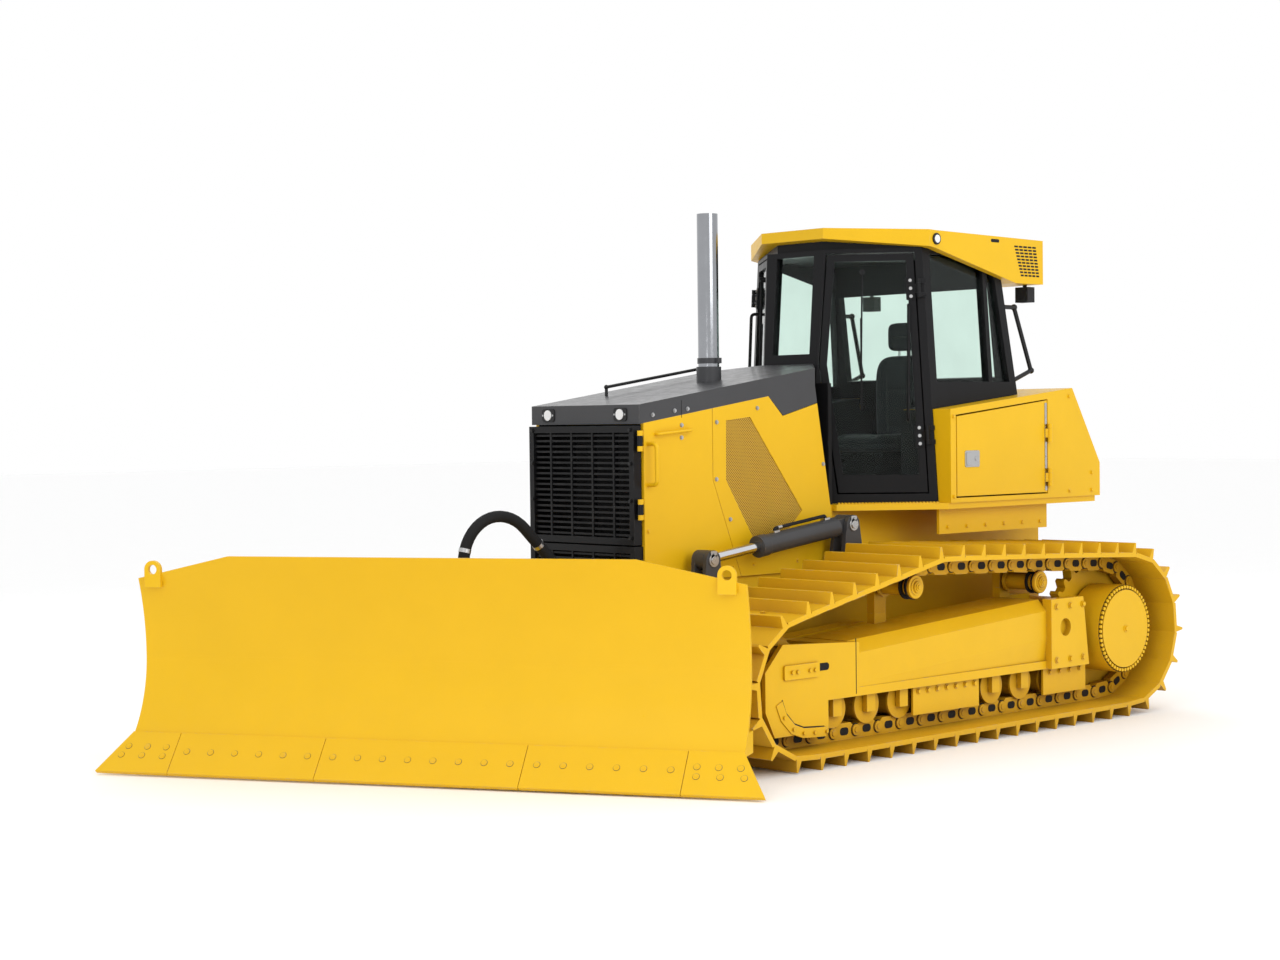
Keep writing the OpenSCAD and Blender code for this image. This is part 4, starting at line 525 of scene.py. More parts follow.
steel = surface("brushed steel", (0.5, 0.5, 0.5), 0.3, metal=1.0, grain=500.0, bump=0.08)
bright_spots = ((-1.875, 2.048), (-1.693, 2.072), (-1.584, 2.082), (-1.337, 2.000),
                (-1.343, 1.653), (-1.226, 1.404), (-0.37, 1.725), (-0.977, 2.085),
                (-1.636, 1.985), (-1.638, 1.910))
painted_spots = ((-1.92, 1.11), (-1.92, 1.36), (-1.20, 1.11), (-0.62, 1.12), (-1.02, 1.12),
                 (-0.36, 1.36))
hood_bolt_r = 0.010
seam_y, seam_z, seam_wide, seam_high, seam_thick = -1.635, 2.082, 0.004, 0.105, 0.0008
bright_bolts, panel_bolts, hood_seams = bmesh.new(), bmesh.new(), bmesh.new()
for side in (-1, 1):
    add_plate(hood_seams, at(side * skin_x, seam_y, seam_z), LEFT * side, UP, seam_wide, seam_high,
              seam_thick)
add_side_bolts(bright_bolts, skin_x, bright_spots, hood_bolt_r)
add_side_bolts(panel_bolts, skin_x, painted_spots, hood_bolt_r)
piece("hood_bright_bolts", bright_bolts, steel)
piece("hood_panel_bolts", panel_bolts, yellow)
piece("hood_seams", hood_seams, core_black)

black = surface("black paint", (0.011, 0.011, 0.012), 0.36, wear=0.35,
                bare=(0.12, 0.12, 0.12), coat=0.15)
grab_y, grab_low, grab_high, grab_out, grab_r = -1.915, 1.634, 1.876, 0.075, 0.0125
bar_front, bar_rear, bar_out, bar_r = (-1.856, 1.934), (-1.58, 1.955), 0.035, 0.009
handles = bmesh.new()
for side in (-1, 1):
    near = side * skin_x
    grab, bar = near + side * grab_out, near + side * bar_out
    add_tube(handles, [at(near, grab_y, grab_low), at(grab, grab_y, grab_low),
                       at(grab, grab_y, grab_high), at(near, grab_y, grab_high)], grab_r)
    add_tube(handles, [at(near, *bar_front), at(bar, *bar_front), at(bar, *bar_rear),
                       at(near, *bar_rear)], bar_r, bend=0.025)
piece("hood_handles", handles, yellow)
dress(black, "hood_rail", edge=0)


def glass_finish(name, colour, roughness=0.02, clear=1.0):
    """Tinted glass with a faint film of dust that blurs it in patches."""
    made = new_finish(name)
    tree, shader, place = shading(made)
    dusty = add_node(tree, "ShaderNodeTexNoise", Scale=3.0, Detail=5.0)
    tree.links.new(place, dusty.inputs["Vector"])
    blurred = ramp(tree, dusty.outputs[0], 0.4, 0.75, roughness, roughness + 0.06)
    tree.links.new(blurred, shader.inputs["Roughness"])
    share = ramp(tree, dusty.outputs[0], 0.3, 0.8, 0.0, 1.0)
    faded = tuple(c * 0.94 for c in colour)
    tree.links.new(blend_colour(tree, share, colour, faded), shader.inputs["Base Color"])
    shader.inputs["Transmission Weight"].default_value = clear
    shader.inputs["IOR"].default_value = 1.18
    return made


lamp_glass = glass_finish("lamp glass", (0.9, 0.91, 0.92), 0.12, 0.15)
dress(lamp_glass, "hood_lamps", edge=0)
lamps_low, lamps_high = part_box("hood_lamps")
lamp_z = (lamps_low.z + lamps_high.z) / 2
lamp_x, bezel_screw_x = 0.324, 0.046
bezels, bezel_screws = bmesh.new(), bmesh.new()
for x in (-lamp_x, lamp_x):
    middle = Vector((MIDDLE.x + x, lamps_high.y, lamp_z))
    add_plate(bezels, middle, AHEAD, UP, 0.114, 0.080, 0.007, 0.018)
    for across in (-bezel_screw_x, bezel_screw_x):
        spot = middle + LEFT * across
        add_rod(bezel_screws, spot, spot + AHEAD * 0.010, 0.006, 12)
piece("lamp_bezels", bezels, black, edge=0.002)
piece("lamp_screws", bezel_screws, steel)

# Exhaust stack
# Chromed steel pipe that stands in a clamp on the hood and darkens with heat; a dark band
# with a lug draws it tight.

stack_chrome = surface("stack chrome", (0.34, 0.35, 0.37), 0.13, metal=1.0, bump=0.01, vary=0.15)
dress(stack_chrome, "exhaust_stack", edge=0.001)
stack_low, stack_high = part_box("exhaust_stack")
stack_r = (stack_high.x - stack_low.x) / 2
clamp_up, clamp_high, clamp_thick = 0.135, 0.035, 0.006
lug_out, lug_half = 0.035, 0.014
clamp_foot = (stack_low + stack_high) / 2
clamp_foot.z = stack_low.z + clamp_up
clamp = bmesh.new()
add_rod(clamp, clamp_foot, clamp_foot + UP * clamp_high, stack_r + clamp_thick, 40)
add_box(clamp, clamp_foot + Vector((stack_r, -lug_half, 0)),
        clamp_foot + Vector((stack_r + lug_out, lug_half, clamp_high)))
piece("stack_clamp", clamp, dark_grey)

# Grille
# A swing-out door of black slats in a welded border, hung on two hinge blocks at its left edge
# and held by bolts; a black shroud closes the gap between it and the radiator.

slat_black = surface("slat black", (0.008, 0.008, 0.009), 0.34, wear=0.3, bare=(0.14, 0.14, 0.14),
                     coat=0.05, gloss=0.15)
dress(slat_black, "grille", "grille_base", edge=0.002)
shroud_z, shroud_high, shroud_thick = 1.555, 0.95, 0.002
shroud = bmesh.new()
for side in (-1, 1):
    add_plate(shroud, at(side * 0.459, -1.832, shroud_z), LEFT * -side, UP, 0.226, shroud_high,
              shroud_thick)
    add_plate(shroud, at(side * 0.448, -1.815, shroud_z), AHEAD, UP, 0.020, shroud_high,
              shroud_thick)
piece("radiator_shroud", shroud, core_black)
grille_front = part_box("grille")[0].y
grille_bolts = bmesh.new()
for x in (-0.44, 0.44):
    for z in (1.32, 1.54, 1.76, 1.96):
        add_bolt(grille_bolts, Vector((MIDDLE.x + x, grille_front, z)), AHEAD, 0.011)
piece("grille_bolts", grille_bolts, black, body="grille_door")

# Deck, side boxes, service doors and tank
# Bent sheet boxes beside and behind the operator, in yellow; each side box opens by a service
# door with a paddle latch and a riveted hinge strip. The tank behind has a cap.

dress(yellow, "deck", "side_box", "fuel_tank", "service_door", edge=0.006)
box_x, latch_y, latch_z = 0.95, 0.565, 1.742
strip_y, strip_low, strip_high, strip_rivets = 1.369, 1.512, 2.105, 9
for side, word in SIDES:
    out = LEFT * side
    latch = bmesh.new()
    middle = at(side * box_x, latch_y, latch_z)
    lock = middle - AHEAD * 0.040
    add_plate(latch, middle, out, UP, 0.150, 0.108, 0.005, 0.012)
    add_plate(latch, middle + AHEAD * 0.028, out, UP, 0.070, 0.084, 0.010, 0.008)
    add_rod(latch, lock, lock + out * 0.009, 0.014, 18)
    piece(f"latch_{word}", latch, steel, body=f"{word}_service_door", edge=0.0015)
    strip = bmesh.new()
    low, high = (at(side * box_x, strip_y, z) for z in (strip_low, strip_high))
    run = high - low
    add_plate(strip, (high + low) / 2, out, run, 0.022, run.length, 0.004, 0.002)
    for i in range(strip_rivets):
        spot = low + run * (i + 0.5) / strip_rivets
        add_rod(strip, spot, spot + out * 0.006, 0.005, 10)
    piece(f"hinge_strip_{word}", strip, steel, body=f"{word}_service_door")
box_spots = ((0.375, 1.50), (0.375, 2.02), (1.64, 2.15), (1.90, 1.62), (1.90, 1.50), (1.64, 1.50))
skirt_x, skirt_first, skirt_step, box_bolt_r = 0.86, 0.42, 0.2, 0.011
skirt_spots = [(skirt_first + skirt_step * i, 1.30) for i in range(6)]
box_bolts = bmesh.new()
add_side_bolts(box_bolts, box_x, box_spots, box_bolt_r)
add_side_bolts(box_bolts, skirt_x, skirt_spots, box_bolt_r)
piece("side_box_bolts", box_bolts, yellow)
cap_sunk, cap_high, cap_r = 0.016, 0.06, 0.06
cap_foot = at(0.2, 1.55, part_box("fuel_tank")[1].z - cap_sunk)
cap = bmesh.new()
add_rod(cap, cap_foot, cap_foot + UP * cap_high, cap_r, 24)
piece("tank_cap", cap, black, edge=0.003)
deck_z, tread_ribs = 1.46, 30
tread_ends = ((0.455, -0.205), (0.885, 0.300))
tread = bmesh.new()
for side in (-1, 1):
    start, end = (at(side * x, y, deck_z) for x, y in tread_ends)
    run = end - start
    add_plate(tread, (start + end) / 2, UP, run.normalized(), 0.050, run.length, 0.004)
    for i in range(tread_ribs):
        spot = start + run * (i + 0.5) / tread_ribs
        add_plate(tread, spot, UP, run.normalized(), 0.044, 0.010, 0.010)
piece("step_treads", tread, yellow)

# Cab shell, doors and glass
# Welded black posts and panels with tinted flat glass; the doors hang on bolted hinges at the
# middle posts and carry a bar handle, and wipers sweep the front and the doors.

cab_black = surface("cab black", (0.010, 0.010, 0.011), 0.38, wear=0.25,
                    bare=(0.08, 0.08, 0.08), coat=0.04, gloss=0.1)
dress(cab_black, "cab_frame", "cab_door", edge=0.004)
tinted = glass_finish("tinted glass", (0.82, 0.93, 0.88))
dress(tinted, "cab_glass", "door_glass", edge=0)
rubber = surface("rubber", (0.014, 0.014, 0.015), 0.75, bump=0.2)


def biggest_face(name, towards):
    """Middle and normal of the largest flat face of a CAD node that looks a given way."""
    def extent(face):
        return max((a - b).length for a in face[2] for b in face[2])
    return max((f for f in flat_faces(name) if f[1].dot(towards) > 0.6), key=extent)[:2]


def rectangle(a0, a1, b0, b1):
    """Four corners of a rectangle, as pairs."""
    return (a0, b0), (a1, b0), (a1, b1), (a0, b1)


wall_in, wall_out, wall_low, wall_top = 0.300, 0.459, 1.462, 2.240
wall_front, wall_rear, wall_skin = -0.290, -0.260, 0.003
cowl = bmesh.new()
for side in (-1, 1):
    for y, out in ((wall_front, AHEAD), (wall_rear, -AHEAD)):
        rim = [at(side * x, y, z) for x, z in rectangle(wall_in, wall_out, wall_low, wall_top)]
        add_slab(cowl, rim, out, wall_skin)
    rim = [at(side * wall_out, y, z)
           for y, z in rectangle(wall_front, wall_rear, wall_low, wall_top)]
    add_slab(cowl, rim, LEFT * side, wall_skin)
rim = [at(x, y, wall_top) for x, y in rectangle(-wall_out, wall_out, wall_front, wall_rear)]
add_slab(cowl, rim, UP, wall_skin)
piece("cowl_posts", cowl, cab_black)

pivot_r, arm_r, blade_half = 0.018, 0.006, 0.3
grip_below, grip_in, grip_long, grip_out = 0.35, 0.27, 0.75, 0.06
hinge_heights, hinge_screws = (1.900, 2.860), (-0.052, 0.0, 0.052)
hinge_in, hinge_back, seal_up, seal_back = 0.050, 0.022, 0.43, 0.086
doors = [(side, word, f"{word}_door", *biggest_face(f"door_glass_{word}", LEFT * side + AHEAD))
         for side, word in SIDES]
for side, word, door, middle, normal in doors:
    rise = (UP - normal * normal.z).normalized()
    across = rise.cross(normal) * -side
    wiper = bmesh.new()
    pivot = middle + normal * 0.03 + rise * 0.62 + across * 0.02
    tip = middle + normal * 0.012 + rise * 0.02 + across * 0.03
    add_rod(wiper, pivot - normal * 0.03, pivot + normal * 0.012, pivot_r, 16)
    add_rod(wiper, pivot, tip + normal * 0.008, arm_r, 8)
    add_rod(wiper, tip + rise * blade_half, tip - rise * blade_half, arm_r, 8)
    piece(f"door_wiper_{word}", wiper, rubber, body=door)
    grip = bmesh.new()
    grip_foot = middle - rise * grip_below - across * grip_in
    grip_head = grip_foot + rise * grip_long - across * 0.01
    add_tube(grip, [grip_foot - normal * 0.004, grip_foot + normal * grip_out,
                    grip_head + normal * grip_out, grip_head - normal * 0.004], 0.011)
    piece(f"door_grip_{word}", grip, cab_black, body=door)
for side, word, door, middle, normal in doors:
    hinge = JOINTS[f"{door}_hinge"]
    pin, lean = Vector(hinge["pos_m"]), Vector(hinge["axis"])
    lean = lean if lean.z > 0 else -lean
    inward = lean.cross(normal).normalized() * side
    if inward.x * side > 0:
        inward = -inward
    plates, screws = bmesh.new(), bmesh.new()
    for z in hinge_heights:
        knuckle = pin + lean * ((z - pin.z) / lean.z)
        on_door = knuckle + inward * hinge_in - normal * hinge_back
        add_plate(plates, on_door, normal, lean, 0.062, 0.150, 0.008, 0.008)
        for h in hinge_screws:
            spot = on_door + lean * h
            add_rod(screws, spot, spot + normal * 0.016, 0.011, 14)
    seal = bmesh.new()
    seal_middle = pin + lean * seal_up + inward * 0.010 - normal * seal_back
    add_plate(seal, seal_middle, normal, lean, 0.060, 1.44, 0.004)
    piece(f"door_seal_{word}", seal, rubber)
    piece(f"hinge_plates_{word}", plates, cab_black, body=door, edge=0.002)
    piece(f"hinge_screws_{word}", screws, steel, body=door)

middle, normal = biggest_face("cab_glass", AHEAD)
rise = (UP - normal * normal.z).normalized()
pivot = middle + normal * 0.035 - rise * 0.36
sweep, sweep_half = middle + normal * 0.01, 0.26
wiper = bmesh.new()
add_rod(wiper, pivot - normal * 0.03, pivot + normal * 0.01, 0.02, 16)
add_rod(wiper, pivot, middle + normal * 0.014, arm_r, 8)
add_rod(wiper, sweep + rise * sweep_half, sweep - rise * sweep_half, arm_r, 8)
piece("front_wiper", wiper, rubber)

# Seat and console
# Foam seat in woven cloth on a boxed base, arm consoles with control levers and a dash. Thin
# plastic linings, partly real trim and partly painted shade of the cab's inside, cover the boxes
# and the roof, and a rubber mat covers the floor.

plastic = surface("dark plastic", (0.018, 0.018, 0.02), 0.55,
                  grain=500.0, bump=0.25)
dress(plastic, "console", "work_lamps", edge=0.008)
box_front, box_inside, lining, thin_lining = 0.345, 0.560, 0.003, 0.0005
floor_z, roof_z = 1.465, 3.104
box_top_front, box_top_rear, box_rear = 2.066, 2.166, 1.30
foot_x, head_x = 0.785, 0.745
over_box = Vector((0, -(box_top_rear - box_top_front) / (box_rear - box_front), 1)).normalized()
lid_z, lid_slope, lid_rear = 2.068, 0.1041, 1.18
roof_half, roof_rear = 0.680, 1.076
# The linings are dark plastic, partly real trim and partly painted shade inside the cab.
lining_and_shade = bmesh.new()
for side in (-1, 1):
    inward = LEFT * -side
    front_rim = ((box_inside, floor_z), (foot_x, floor_z), (head_x, box_top_front),
                 (box_inside, box_top_front))
    add_slab(lining_and_shade, [at(side * x, box_front, z) for x, z in front_rim], AHEAD, lining)
    inner_rim = ((box_front, floor_z), (1.27, floor_z), (1.20, box_top_rear - 0.008),
                 (box_front, box_top_front))
    add_slab(lining_and_shade, [at(side * box_inside, y, z) for y, z in inner_rim], inward, thin_lining)
    lid_rim = ((box_inside, box_front), (head_x - 0.003, box_front), (head_x - 0.012, lid_rear),
               (box_inside, lid_rear))
    add_slab(lining_and_shade, [at(side * x, y, lid_z + (y - box_front) * lid_slope) for x, y in lid_rim],
             over_box, lining)
    head_rim = ((0.676, 0.36, roof_z), (0.676, 1.08, roof_z), (0.689, 1.09, 2.915),
                (0.679, 0.40, 3.070))
    add_slab(lining_and_shade, [at(side * x, y, z) for x, y, z in head_rim], inward, lining)
roof_rim = ((0.222, -0.028), (roof_half, 0.362), (roof_half, roof_rear), (-roof_half, roof_rear),
            (-roof_half, 0.362), (-0.222, -0.028))
add_slab(lining_and_shade, [at(x, y, roof_z) for x, y in roof_rim], -UP, lining)
rear_rim = ((-roof_half, roof_rear, roof_z), (roof_half, roof_rear, roof_z),
            (0.692, 1.104, 2.885), (-0.692, 1.104, 2.885))
add_slab(lining_and_shade, [at(*p) for p in rear_rim], AHEAD, lining)
piece("cab_trim", lining_and_shade, plastic)
mat_rim = ((0.16, -0.13), (0.735, 0.325), (0.552, 0.335), (0.552, 1.25), (-0.552, 1.25),
           (-0.552, 0.335), (-0.735, 0.325), (-0.16, -0.13))
mat = bmesh.new()
add_slab(mat, [at(x, y, deck_z) for x, y in mat_rim], UP, 0.004)
piece("floor_mat", mat, rubber)

lever_x, lever_y, lever_z = 0.484, 0.575, 2.080
fold, fold_r, fold_step = 0.014, 0.058, 0.008
knob_low, knob_waist, knob_top = 0.095, 0.135, 0.176
levers, boots = bmesh.new(), bmesh.new()
for x in (-lever_x, lever_x):
    foot = at(x, lever_y, lever_z)
    for i in range(4):
        wide = fold_r - fold_step * i
        add_rod(boots, foot + UP * fold * i, foot + UP * fold * (i + 1), wide, 24, wide - 0.012)
    add_rod(levers, foot + UP * knob_low, foot + UP * knob_waist, 0.024, 20, 0.030)
    add_rod(levers, foot + UP * knob_waist, foot + UP * knob_top, 0.030, 20, 0.026)
piece("lever_boots", boots, rubber)
piece("lever_grips", levers, plastic, edge=0.006)

cloth = surface("seat cloth", (0.030, 0.032, 0.036), 0.88, grain=900.0, bump=0.5)
tree, shader, place = shading(cloth)
threads = add_node(tree, "ShaderNodeTexChecker", Scale=420.0)
tree.links.new(place, threads.inputs["Vector"])
plain = shader.inputs["Base Color"].links[0].from_socket
share = ramp(tree, threads.outputs["Fac"], 0.0, 1.0, 0.0, 0.45)
dark_thread = (0.012, 0.012, 0.014)
tree.links.new(blend_colour(tree, share, plain, dark_thread), shader.inputs["Base Color"])
shader.inputs["Sheen Weight"].default_value = 0.15


def pad_mesh(middle, half, face, up, seams, bolster):
    """Mesh of a crowned pad with sewn channels across its face and bolsters at both sides."""
    across = up.cross(face)
    made = bmesh.new()
    bmesh.ops.create_cube(made, size=2.0)
    bmesh.ops.subdivide_edges(made, edges=made.edges, cuts=27, use_grid_fill=True)
    power, crown, stitch, stitch_half, bolster_at = 5.0, 0.008, 0.009, 0.035, 0.58
    rise_at, rise_wide, waist, waist_half = 0.56, 0.2, 0.018, 0.12
    for v in made.verts:
        spread = sum(abs(c) ** power for c in v.co) ** (1 / power)
        a, b, c = v.co / spread
        side_share = min(max((abs(a) - rise_at) / rise_wide, 0.0), 1.0)
        lift = 0.0
        if c > 0:
            lift = bolster * side_share ** 2 * (1 - abs(b) ** 6) * c
            lift += crown * (1 - a * a) * (1 - b * b) * c
            lift -= stitch * math.exp(-((abs(a) - bolster_at) / stitch_half) ** 2) * c
            for seam in seams:
                dip = stitch * math.exp(-((b - seam) / stitch_half) ** 2)
                lift -= dip * c * (1 - side_share)
        pinch = 1.0 - waist * math.exp(-(c / waist_half) ** 2)
        v.co = (middle + across * a * half[0] * pinch + up * b * half[1] * pinch
                + face * (c * half[2] + lift))
    return made


seat_low, seat_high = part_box("seat")
seat_x, seat_y = (seat_low.x + seat_high.x) / 2, seat_low.y
back_y = seat_y + 0.540
pads = (
    ("seat_cushion", Vector((seat_x, seat_y + 0.232, 1.838)), (0.236, 0.228, 0.056), UP, -AHEAD,
     (-0.42, 0.0, 0.42), 0.016),
    ("seat_back", Vector((seat_x, back_y, 2.118)), (0.232, 0.330, 0.052), AHEAD, UP,
     (-0.5, -0.1, 0.3), 0.020),
    ("seat_head", Vector((seat_x, back_y, 2.580)), (0.126, 0.098, 0.050), AHEAD, UP,
     (0.0,), 0.0),
)
for name, *form in pads:
    pad = piece(name, pad_mesh(*form), cloth)
    if name == "seat_cushion":
        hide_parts("seat")
bellows, bellow_low, bellow_step, bellow_waist = 8, 1.489, 0.032, 0.014
base = bmesh.new()
base_middle = Vector((seat_x, seat_y + 0.238, 0))
add_plate(base, base_middle + UP * floor_z, UP, AHEAD, 0.350, 0.440, 0.022, 0.02)
for i in range(bellows):
    fold_foot = base_middle + UP * (bellow_low + i * bellow_step)
    add_plate(base, fold_foot, UP, AHEAD, 0.300, 0.390, bellow_waist, 0.03)
    add_plate(base, fold_foot + UP * bellow_waist, UP, AHEAD, 0.326, 0.416, 0.020, 0.04)
add_plate(base, base_middle + UP * 1.746, UP, AHEAD, 0.420, 0.420, 0.040, 0.03)
add_box(base, Vector((seat_x - 0.17, seat_y + 0.462, 1.750)),
        Vector((seat_x + 0.17, seat_y + 0.585, 1.815)))
piece("seat_base", base, rubber, edge=0.003)
head_posts = bmesh.new()
for x in (seat_x - 0.05, seat_x + 0.05):
    add_rod(head_posts, Vector((x, back_y, 2.42)), Vector((x, back_y, 2.51)), 0.008, 14)
piece("seat_head_posts", head_posts, steel)

# Roof, rear lamps and grab rails
# Moulded yellow roof cap over the posts, dropping to the rear, with a punched air inlet and a
# round lamp in each side and work lamps below its overhang.

dress(yellow, "cab_roof", edge=0.02)
dress(black, "cab_rails", edge=0)
roof_x = 0.800
inlet_rows, inlet_columns, inlet_top, inlet_step = 10, 5, 3.168, 0.0215
inlet_front, inlet_rear, front_lean, rear_lean = 1.232, 1.484, 0.070, 0.036
vents, rings, lenses = bmesh.new(), bmesh.new(), bmesh.new()
for side in (-1, 1):
    out = LEFT * side
    for i in range(inlet_rows):
        z = inlet_top - i * inlet_step
        share = i / (inlet_rows - 1)
        front = inlet_front + share * front_lean
        wide = (inlet_rear + share * rear_lean - front) / inlet_columns
        for k in range(inlet_columns):
            spot = at(side * roof_x, front + wide * (k + 0.5), z)
            # Painted shade: the inlet's holes are dark film plates that stand for the shade inside
            # the openings.
            add_plate(vents, spot, out, UP, wide - 0.010, 0.012, film, 0.003)
    add_plate(vents, at(side * roof_x, 1.025, 3.196), out, UP, 0.090, 0.022, film, 0.010)
    lamp = at(side * roof_x, 0.400, 3.178)
    add_rod(rings, lamp - out * SUNK, lamp + out * 0.010, 0.038, 28)
    add_rod(lenses, lamp, lamp + out * 0.013, 0.026, 24)
    add_plate(lenses, at(side * 0.690, 1.540, 2.850), -AHEAD, UP, 0.082, 0.076, 0.004, 0.006)
piece("roof_vents", vents, core_black)
piece("roof_lamp_rings", rings, black, edge=0.002)
piece("lamp_lenses", lenses, lamp_glass)

# Push frame and cylinders
# Welded box-section arms and nose. Cylinder barrels are dark grey tube with a bolted gland;
# the rods are hard-chromed bar with painted eyes, held by pins under steel keeper plates.

dress(yellow, "c_frame", edge=0.006)
dress(dark_grey, "yoke", "lift_towers", "lift_barrel", "angle_barrel", "tilt_barrel")
chrome = surface("chrome", (0.66, 0.67, 0.69), 0.10, metal=1.0, bump=0.01, vary=0.05)
dress(chrome, "lift_rod", "angle_rod", "tilt_rod", edge=0.003)

lift_x, lift_ear_x = 0.62, 0.683
lift_base, lift_tower = Vector((0, -0.309, 1.341)), Vector((0, -1.577, 1.177))
keeper_thick = 0.008
for body, pin in (("c_frame", lift_tower), ("chassis", lift_base)):
    plates = bmesh.new()
    for side in (-1, 1):
        out = LEFT * side
        middle = at(side * lift_ear_x, pin.y, pin.z)
        add_rod(plates, middle - out * SUNK, middle + out * keeper_thick, 0.040, 28)
        add_plate(plates, middle + UP * 0.030, out, UP, 0.052, 0.052, keeper_thick, 0.010)
        add_bolt(plates, middle + UP * 0.036 + out * keeper_thick, out, 0.009, washer=False)
        add_rod(plates, middle, middle + out * 0.014, 0.026, 24)
    piece(f"lift_pin_plates_{body}", plates, steel, body=body, edge=0.0015)
along = (lift_tower - lift_base).normalized()
above = Vector((0, along.z, -along.y))
barrel_r, pipe_r, pipe_up, pipe_foot = 0.062, 0.011, 0.086, 0.052
port_rear, port_front, crown_at, crown_long = 0.19, 0.66, 0.60, 0.035
eye_half, eye_in, eye_r = 0.0325, 0.034, 0.0606
for side, word in SIDES:
    root = at(side * lift_x, lift_base.y, lift_base.z)
    line = [root + along * s + above * h
            for s, h in ((port_rear, pipe_foot), (port_rear, pipe_up), (port_front, pipe_up),
                         (port_front, pipe_foot))]
    pipe = bmesh.new()
    add_tube(pipe, line, pipe_r, bend=0.03)
    piece(f"lift_pipe_{word}", pipe, rubber, body=f"lift_cylinder_{word}")
    fitting = bmesh.new()
    for s in (port_rear, port_front):
        add_plate(fitting, root + along * s + above * barrel_r, above, along, 0.046, 0.050, 0.012,
                  0.006)
    crown = root + along * crown_at + above * pipe_up
    add_rod(fitting, crown, crown + along * crown_long, 0.014, 16)
    piece(f"lift_fittings_{word}", fitting, steel, body=f"lift_cylinder_{word}", edge=0.0015)
    eye = bmesh.new()
    eye_side = at(side * lift_x - eye_half + SUNK, lift_tower.y, lift_tower.z)
    add_ring(eye, eye_side, LEFT, eye_in, eye_r, 2 * eye_half - SUNK, 40)
    piece(f"lift_rod_eye_{word}", eye, dark_grey, body=f"lift_piston_{word}")

# Blade and its edges
# Rolled moldboard plate on welded ribs; the edges are hardened plates held by plough bolts, in
# one row along the middle plates and in two rows on the end bits.

blade_yellow = surface("blade yellow", (0.75, 0.445, 0.007), 0.36, wear=0.3,
                       dust=0.02, vary=0.04, coat=0.06)
dress(blade_yellow, "moldboard", "cutting_edges", edge=0.004)
forward = Vector(JOINTS["tilt"]["axis"])
blade_left = Vector((-forward.y, forward.x, 0))
least_high, bolt_space, fewest = 0.1, 0.155, 3
end_rows, middle_rows = (-0.024, 0.036), (0.012,)
ring_r, head_r, square_r = 0.0200, 0.018, 0.010
edge_bolts, edge_rings = bmesh.new(), bmesh.new()
for middle, normal, corners in flat_faces("cutting_edges"):
    if normal.dot(forward) < 0.5 or len(corners) != 4:
        continue
    rise = normal.cross(blade_left).normalized()
    if rise.z < 0:
        rise = -rise
    heights = [c.dot(rise) for c in corners]
    if max(heights) - min(heights) < least_high:
        continue
    reach = [c.dot(blade_left) for c in corners]
    count = max(fewest, round((max(reach) - min(reach)) / bolt_space))
    for row in end_rows if count == fewest else middle_rows:
        level = middle.dot(rise) + row
        ends = []
        for a, b in zip(corners, corners[1:] + corners[:1]):
            high_a, high_b = a.dot(rise) - level, b.dot(rise) - level
            if high_a * high_b < 0:
                ends.append((a + (b - a) * high_a / (high_a - high_b)).dot(blade_left))
        for i in range(count):
            where = min(ends) + (max(ends) - min(ends)) * (i + 0.5) / count
            spot = middle + blade_left * (where - middle.dot(blade_left)) + rise * row
            add_rod(edge_rings, spot - normal * 0.004, spot + normal * 0.001, ring_r, 24)
            add_rod(edge_bolts, spot - normal * SUNK, spot + normal * 0.003, head_r, 24)
            add_rod(edge_bolts, spot, spot + normal * 0.005, square_r, 4)
piece("edge_bolts", edge_bolts, blade_yellow, body="blade")
piece("edge_bolt_rings", edge_rings, dark_grey, body="blade")

# Hose
# A bundle of hydraulic hoses in a woven black sleeve, clamped by steel bands, that arches from
# the frame's front over to the nose of the push frame.

hose_r, foot_bend, crown_bend = 0.034, 0.350, 0.262
hose_lean = math.radians(46)
hose_start, foot_start, hose_end = (-1.850, 1.000), (-1.960, 1.000), (-2.931, 0.940)
crown_middle, bend_end = (-2.669, 1.203), (-2.931, 1.080)
drift, drift_end, drift_long = 0.060, -2.760, 0.800
foot_steps, crown_steps, longest_step = 8, 16, 0.062
route = [hose_start]
for i in range(foot_steps + 1):
    turn = hose_lean * i / foot_steps
    route.append((foot_start[0] - foot_bend * math.sin(turn),
                  foot_start[1] + foot_bend * (1 - math.cos(turn))))
for i in range(crown_steps + 1):
    turn = hose_lean - (hose_lean + math.pi / 2) * i / crown_steps
    route.append((crown_middle[0] + crown_bend * math.sin(turn),
                  crown_middle[1] + crown_bend * math.cos(turn)))
route.append(hose_end)


def hose_place(y, z):
    """Point of the hose's line, which drifts from left of the frame's middle to over it."""
    share = min(max((y - drift_end) / drift_long, 0.0), 1.0)
    return at(drift * share * share * (3 - 2 * share), y, z)


hose_points = []
for (y0, z0), (y1, z1) in zip(route, route[1:]):
    cuts = max(1, round(math.hypot(y1 - y0, z1 - z0) / longest_step))
    hose_points += [hose_place(y0 + (y1 - y0) * k / cuts, z0 + (z1 - z0) * k / cuts)
                    for k in range(cuts)]
hose_points.append(hose_place(*route[-1]))
woven = surface("woven sleeve", (0.017, 0.017, 0.018), 0.82, grain=650.0,
                bump=0.8, vary=0.3)
sleeve = bmesh.new()
centres = add_tube(sleeve, hose_points, hose_r, 20, bend=0)
hose = piece("sleeved_hose", sleeve, woven, body=None)
band_half, band_thick = 0.012, 0.0025
band_mesh = bmesh.new()
band_spots = ((-1.940, 1.000, AHEAD), (-2.385, 1.286, Vector((0, -0.695, 0.719))),
              (-2.921, 1.275, Vector((0, -0.275, -0.961))), (-2.931, 1.060, -UP))
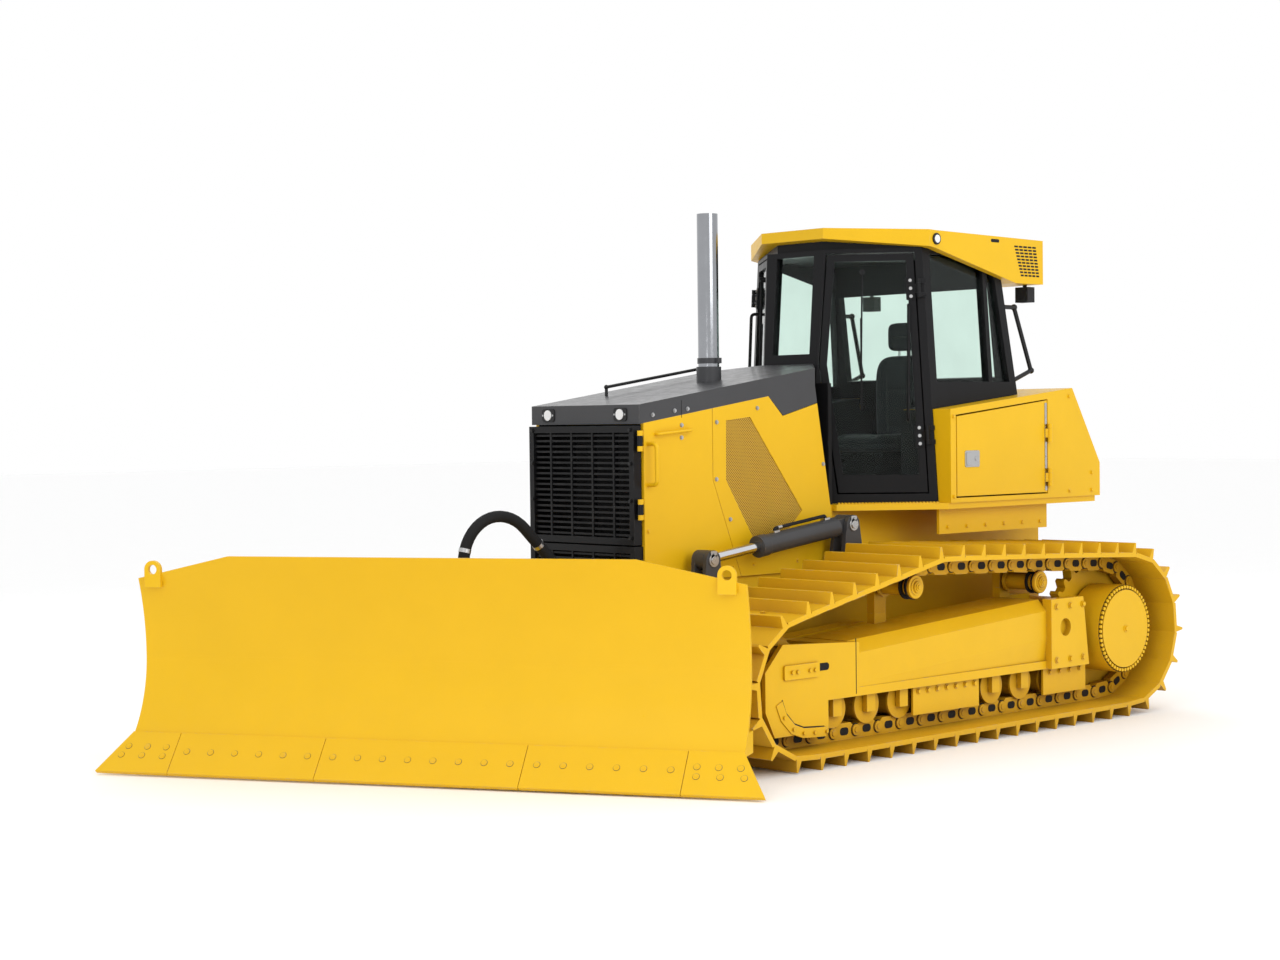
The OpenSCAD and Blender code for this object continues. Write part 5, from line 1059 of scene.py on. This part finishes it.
for y, z, run in band_spots:
    spot = hose_place(y, z)
    add_rod(band_mesh, spot - run * band_half, spot + run * band_half, hose_r + band_thick, 24)
bands = piece("hose_bands", band_mesh, steel, body=None)
for part in (hose, bands):
    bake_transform(part)
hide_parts("hose")

# Studio
# A plain pale floor, soft light from large panels and the camera where the photo was taken from.
# The camera's place, turn and lens come from fitting the photo's perspective to the machine.

pale = surface("pale floor", (0.985, 0.985, 0.985), 0.7, vary=0.01, bump=0.02, gloss=0.1)
bpy.ops.mesh.primitive_plane_add(size=160.0, location=(0, 0, 0))
floor = bpy.context.object
floor.name = "floor"
floor.data.materials.append(pale)

scene = bpy.context.scene
world = scene.world or bpy.data.worlds.new("studio")
scene.world = world
world.use_nodes = True
sky = world.node_tree.nodes["Background"]
sky.inputs["Color"].default_value = (1.0, 1.0, 1.0, 1.0)
sky.inputs["Strength"].default_value = 1.0


def panel(name, place, aim, size, power):
    """A square soft light that looks at a point."""
    light = bpy.data.lights.new(name, "AREA")
    light.size = size
    light.energy = power
    made = bpy.data.objects.new(name, light)
    made.location = place
    made.rotation_euler = (Vector(aim) - Vector(place)).to_track_quat("-Z", "Y").to_euler()
    scene.collection.objects.link(made)


panel("key light", (4.0, -9.0, 8.5), (0, 0, 1.2), 7.0, 120.0)
panel("front light", (4.5, -8.5, 1.5), (0, -2.6, 0.75), 2.0, 42.0)
panel("side light", (10.0, -1.0, 6.0), (0, 0, 1.2), 6.0, 350.0)
panel("back light", (-7.0, 6.0, 8.0), (0, 0, 1.5), 6.0, 140.0)

photo_width, lens_px, raised_px = 1280.0, 2185.77, 4.78
azimuth, nod, roll = (math.radians(turn) for turn in (46.556, -1.378, -0.662))
look = Vector((-math.sin(azimuth) * math.cos(nod), math.cos(azimuth) * math.cos(nod),
               math.sin(nod)))
level = Vector((math.cos(azimuth), math.sin(azimuth), 0))
over = level.cross(look)
right = math.cos(roll) * level + math.sin(roll) * over
top = math.cos(roll) * over - math.sin(roll) * level
camera = bpy.data.objects.new("camera", bpy.data.cameras.new("camera"))
camera.data.sensor_width = 36.0
camera.data.lens = lens_px * camera.data.sensor_width / photo_width
camera.data.shift_y = -raised_px / photo_width
facing = Matrix((right, top, -look)).transposed().to_4x4()
camera_place = at(9.826, -10.831, 2.0026)
camera.matrix_world = Matrix.Translation(camera_place) @ facing
scene.collection.objects.link(camera)
scene.camera = camera
scene.view_settings.view_transform = "Standard"
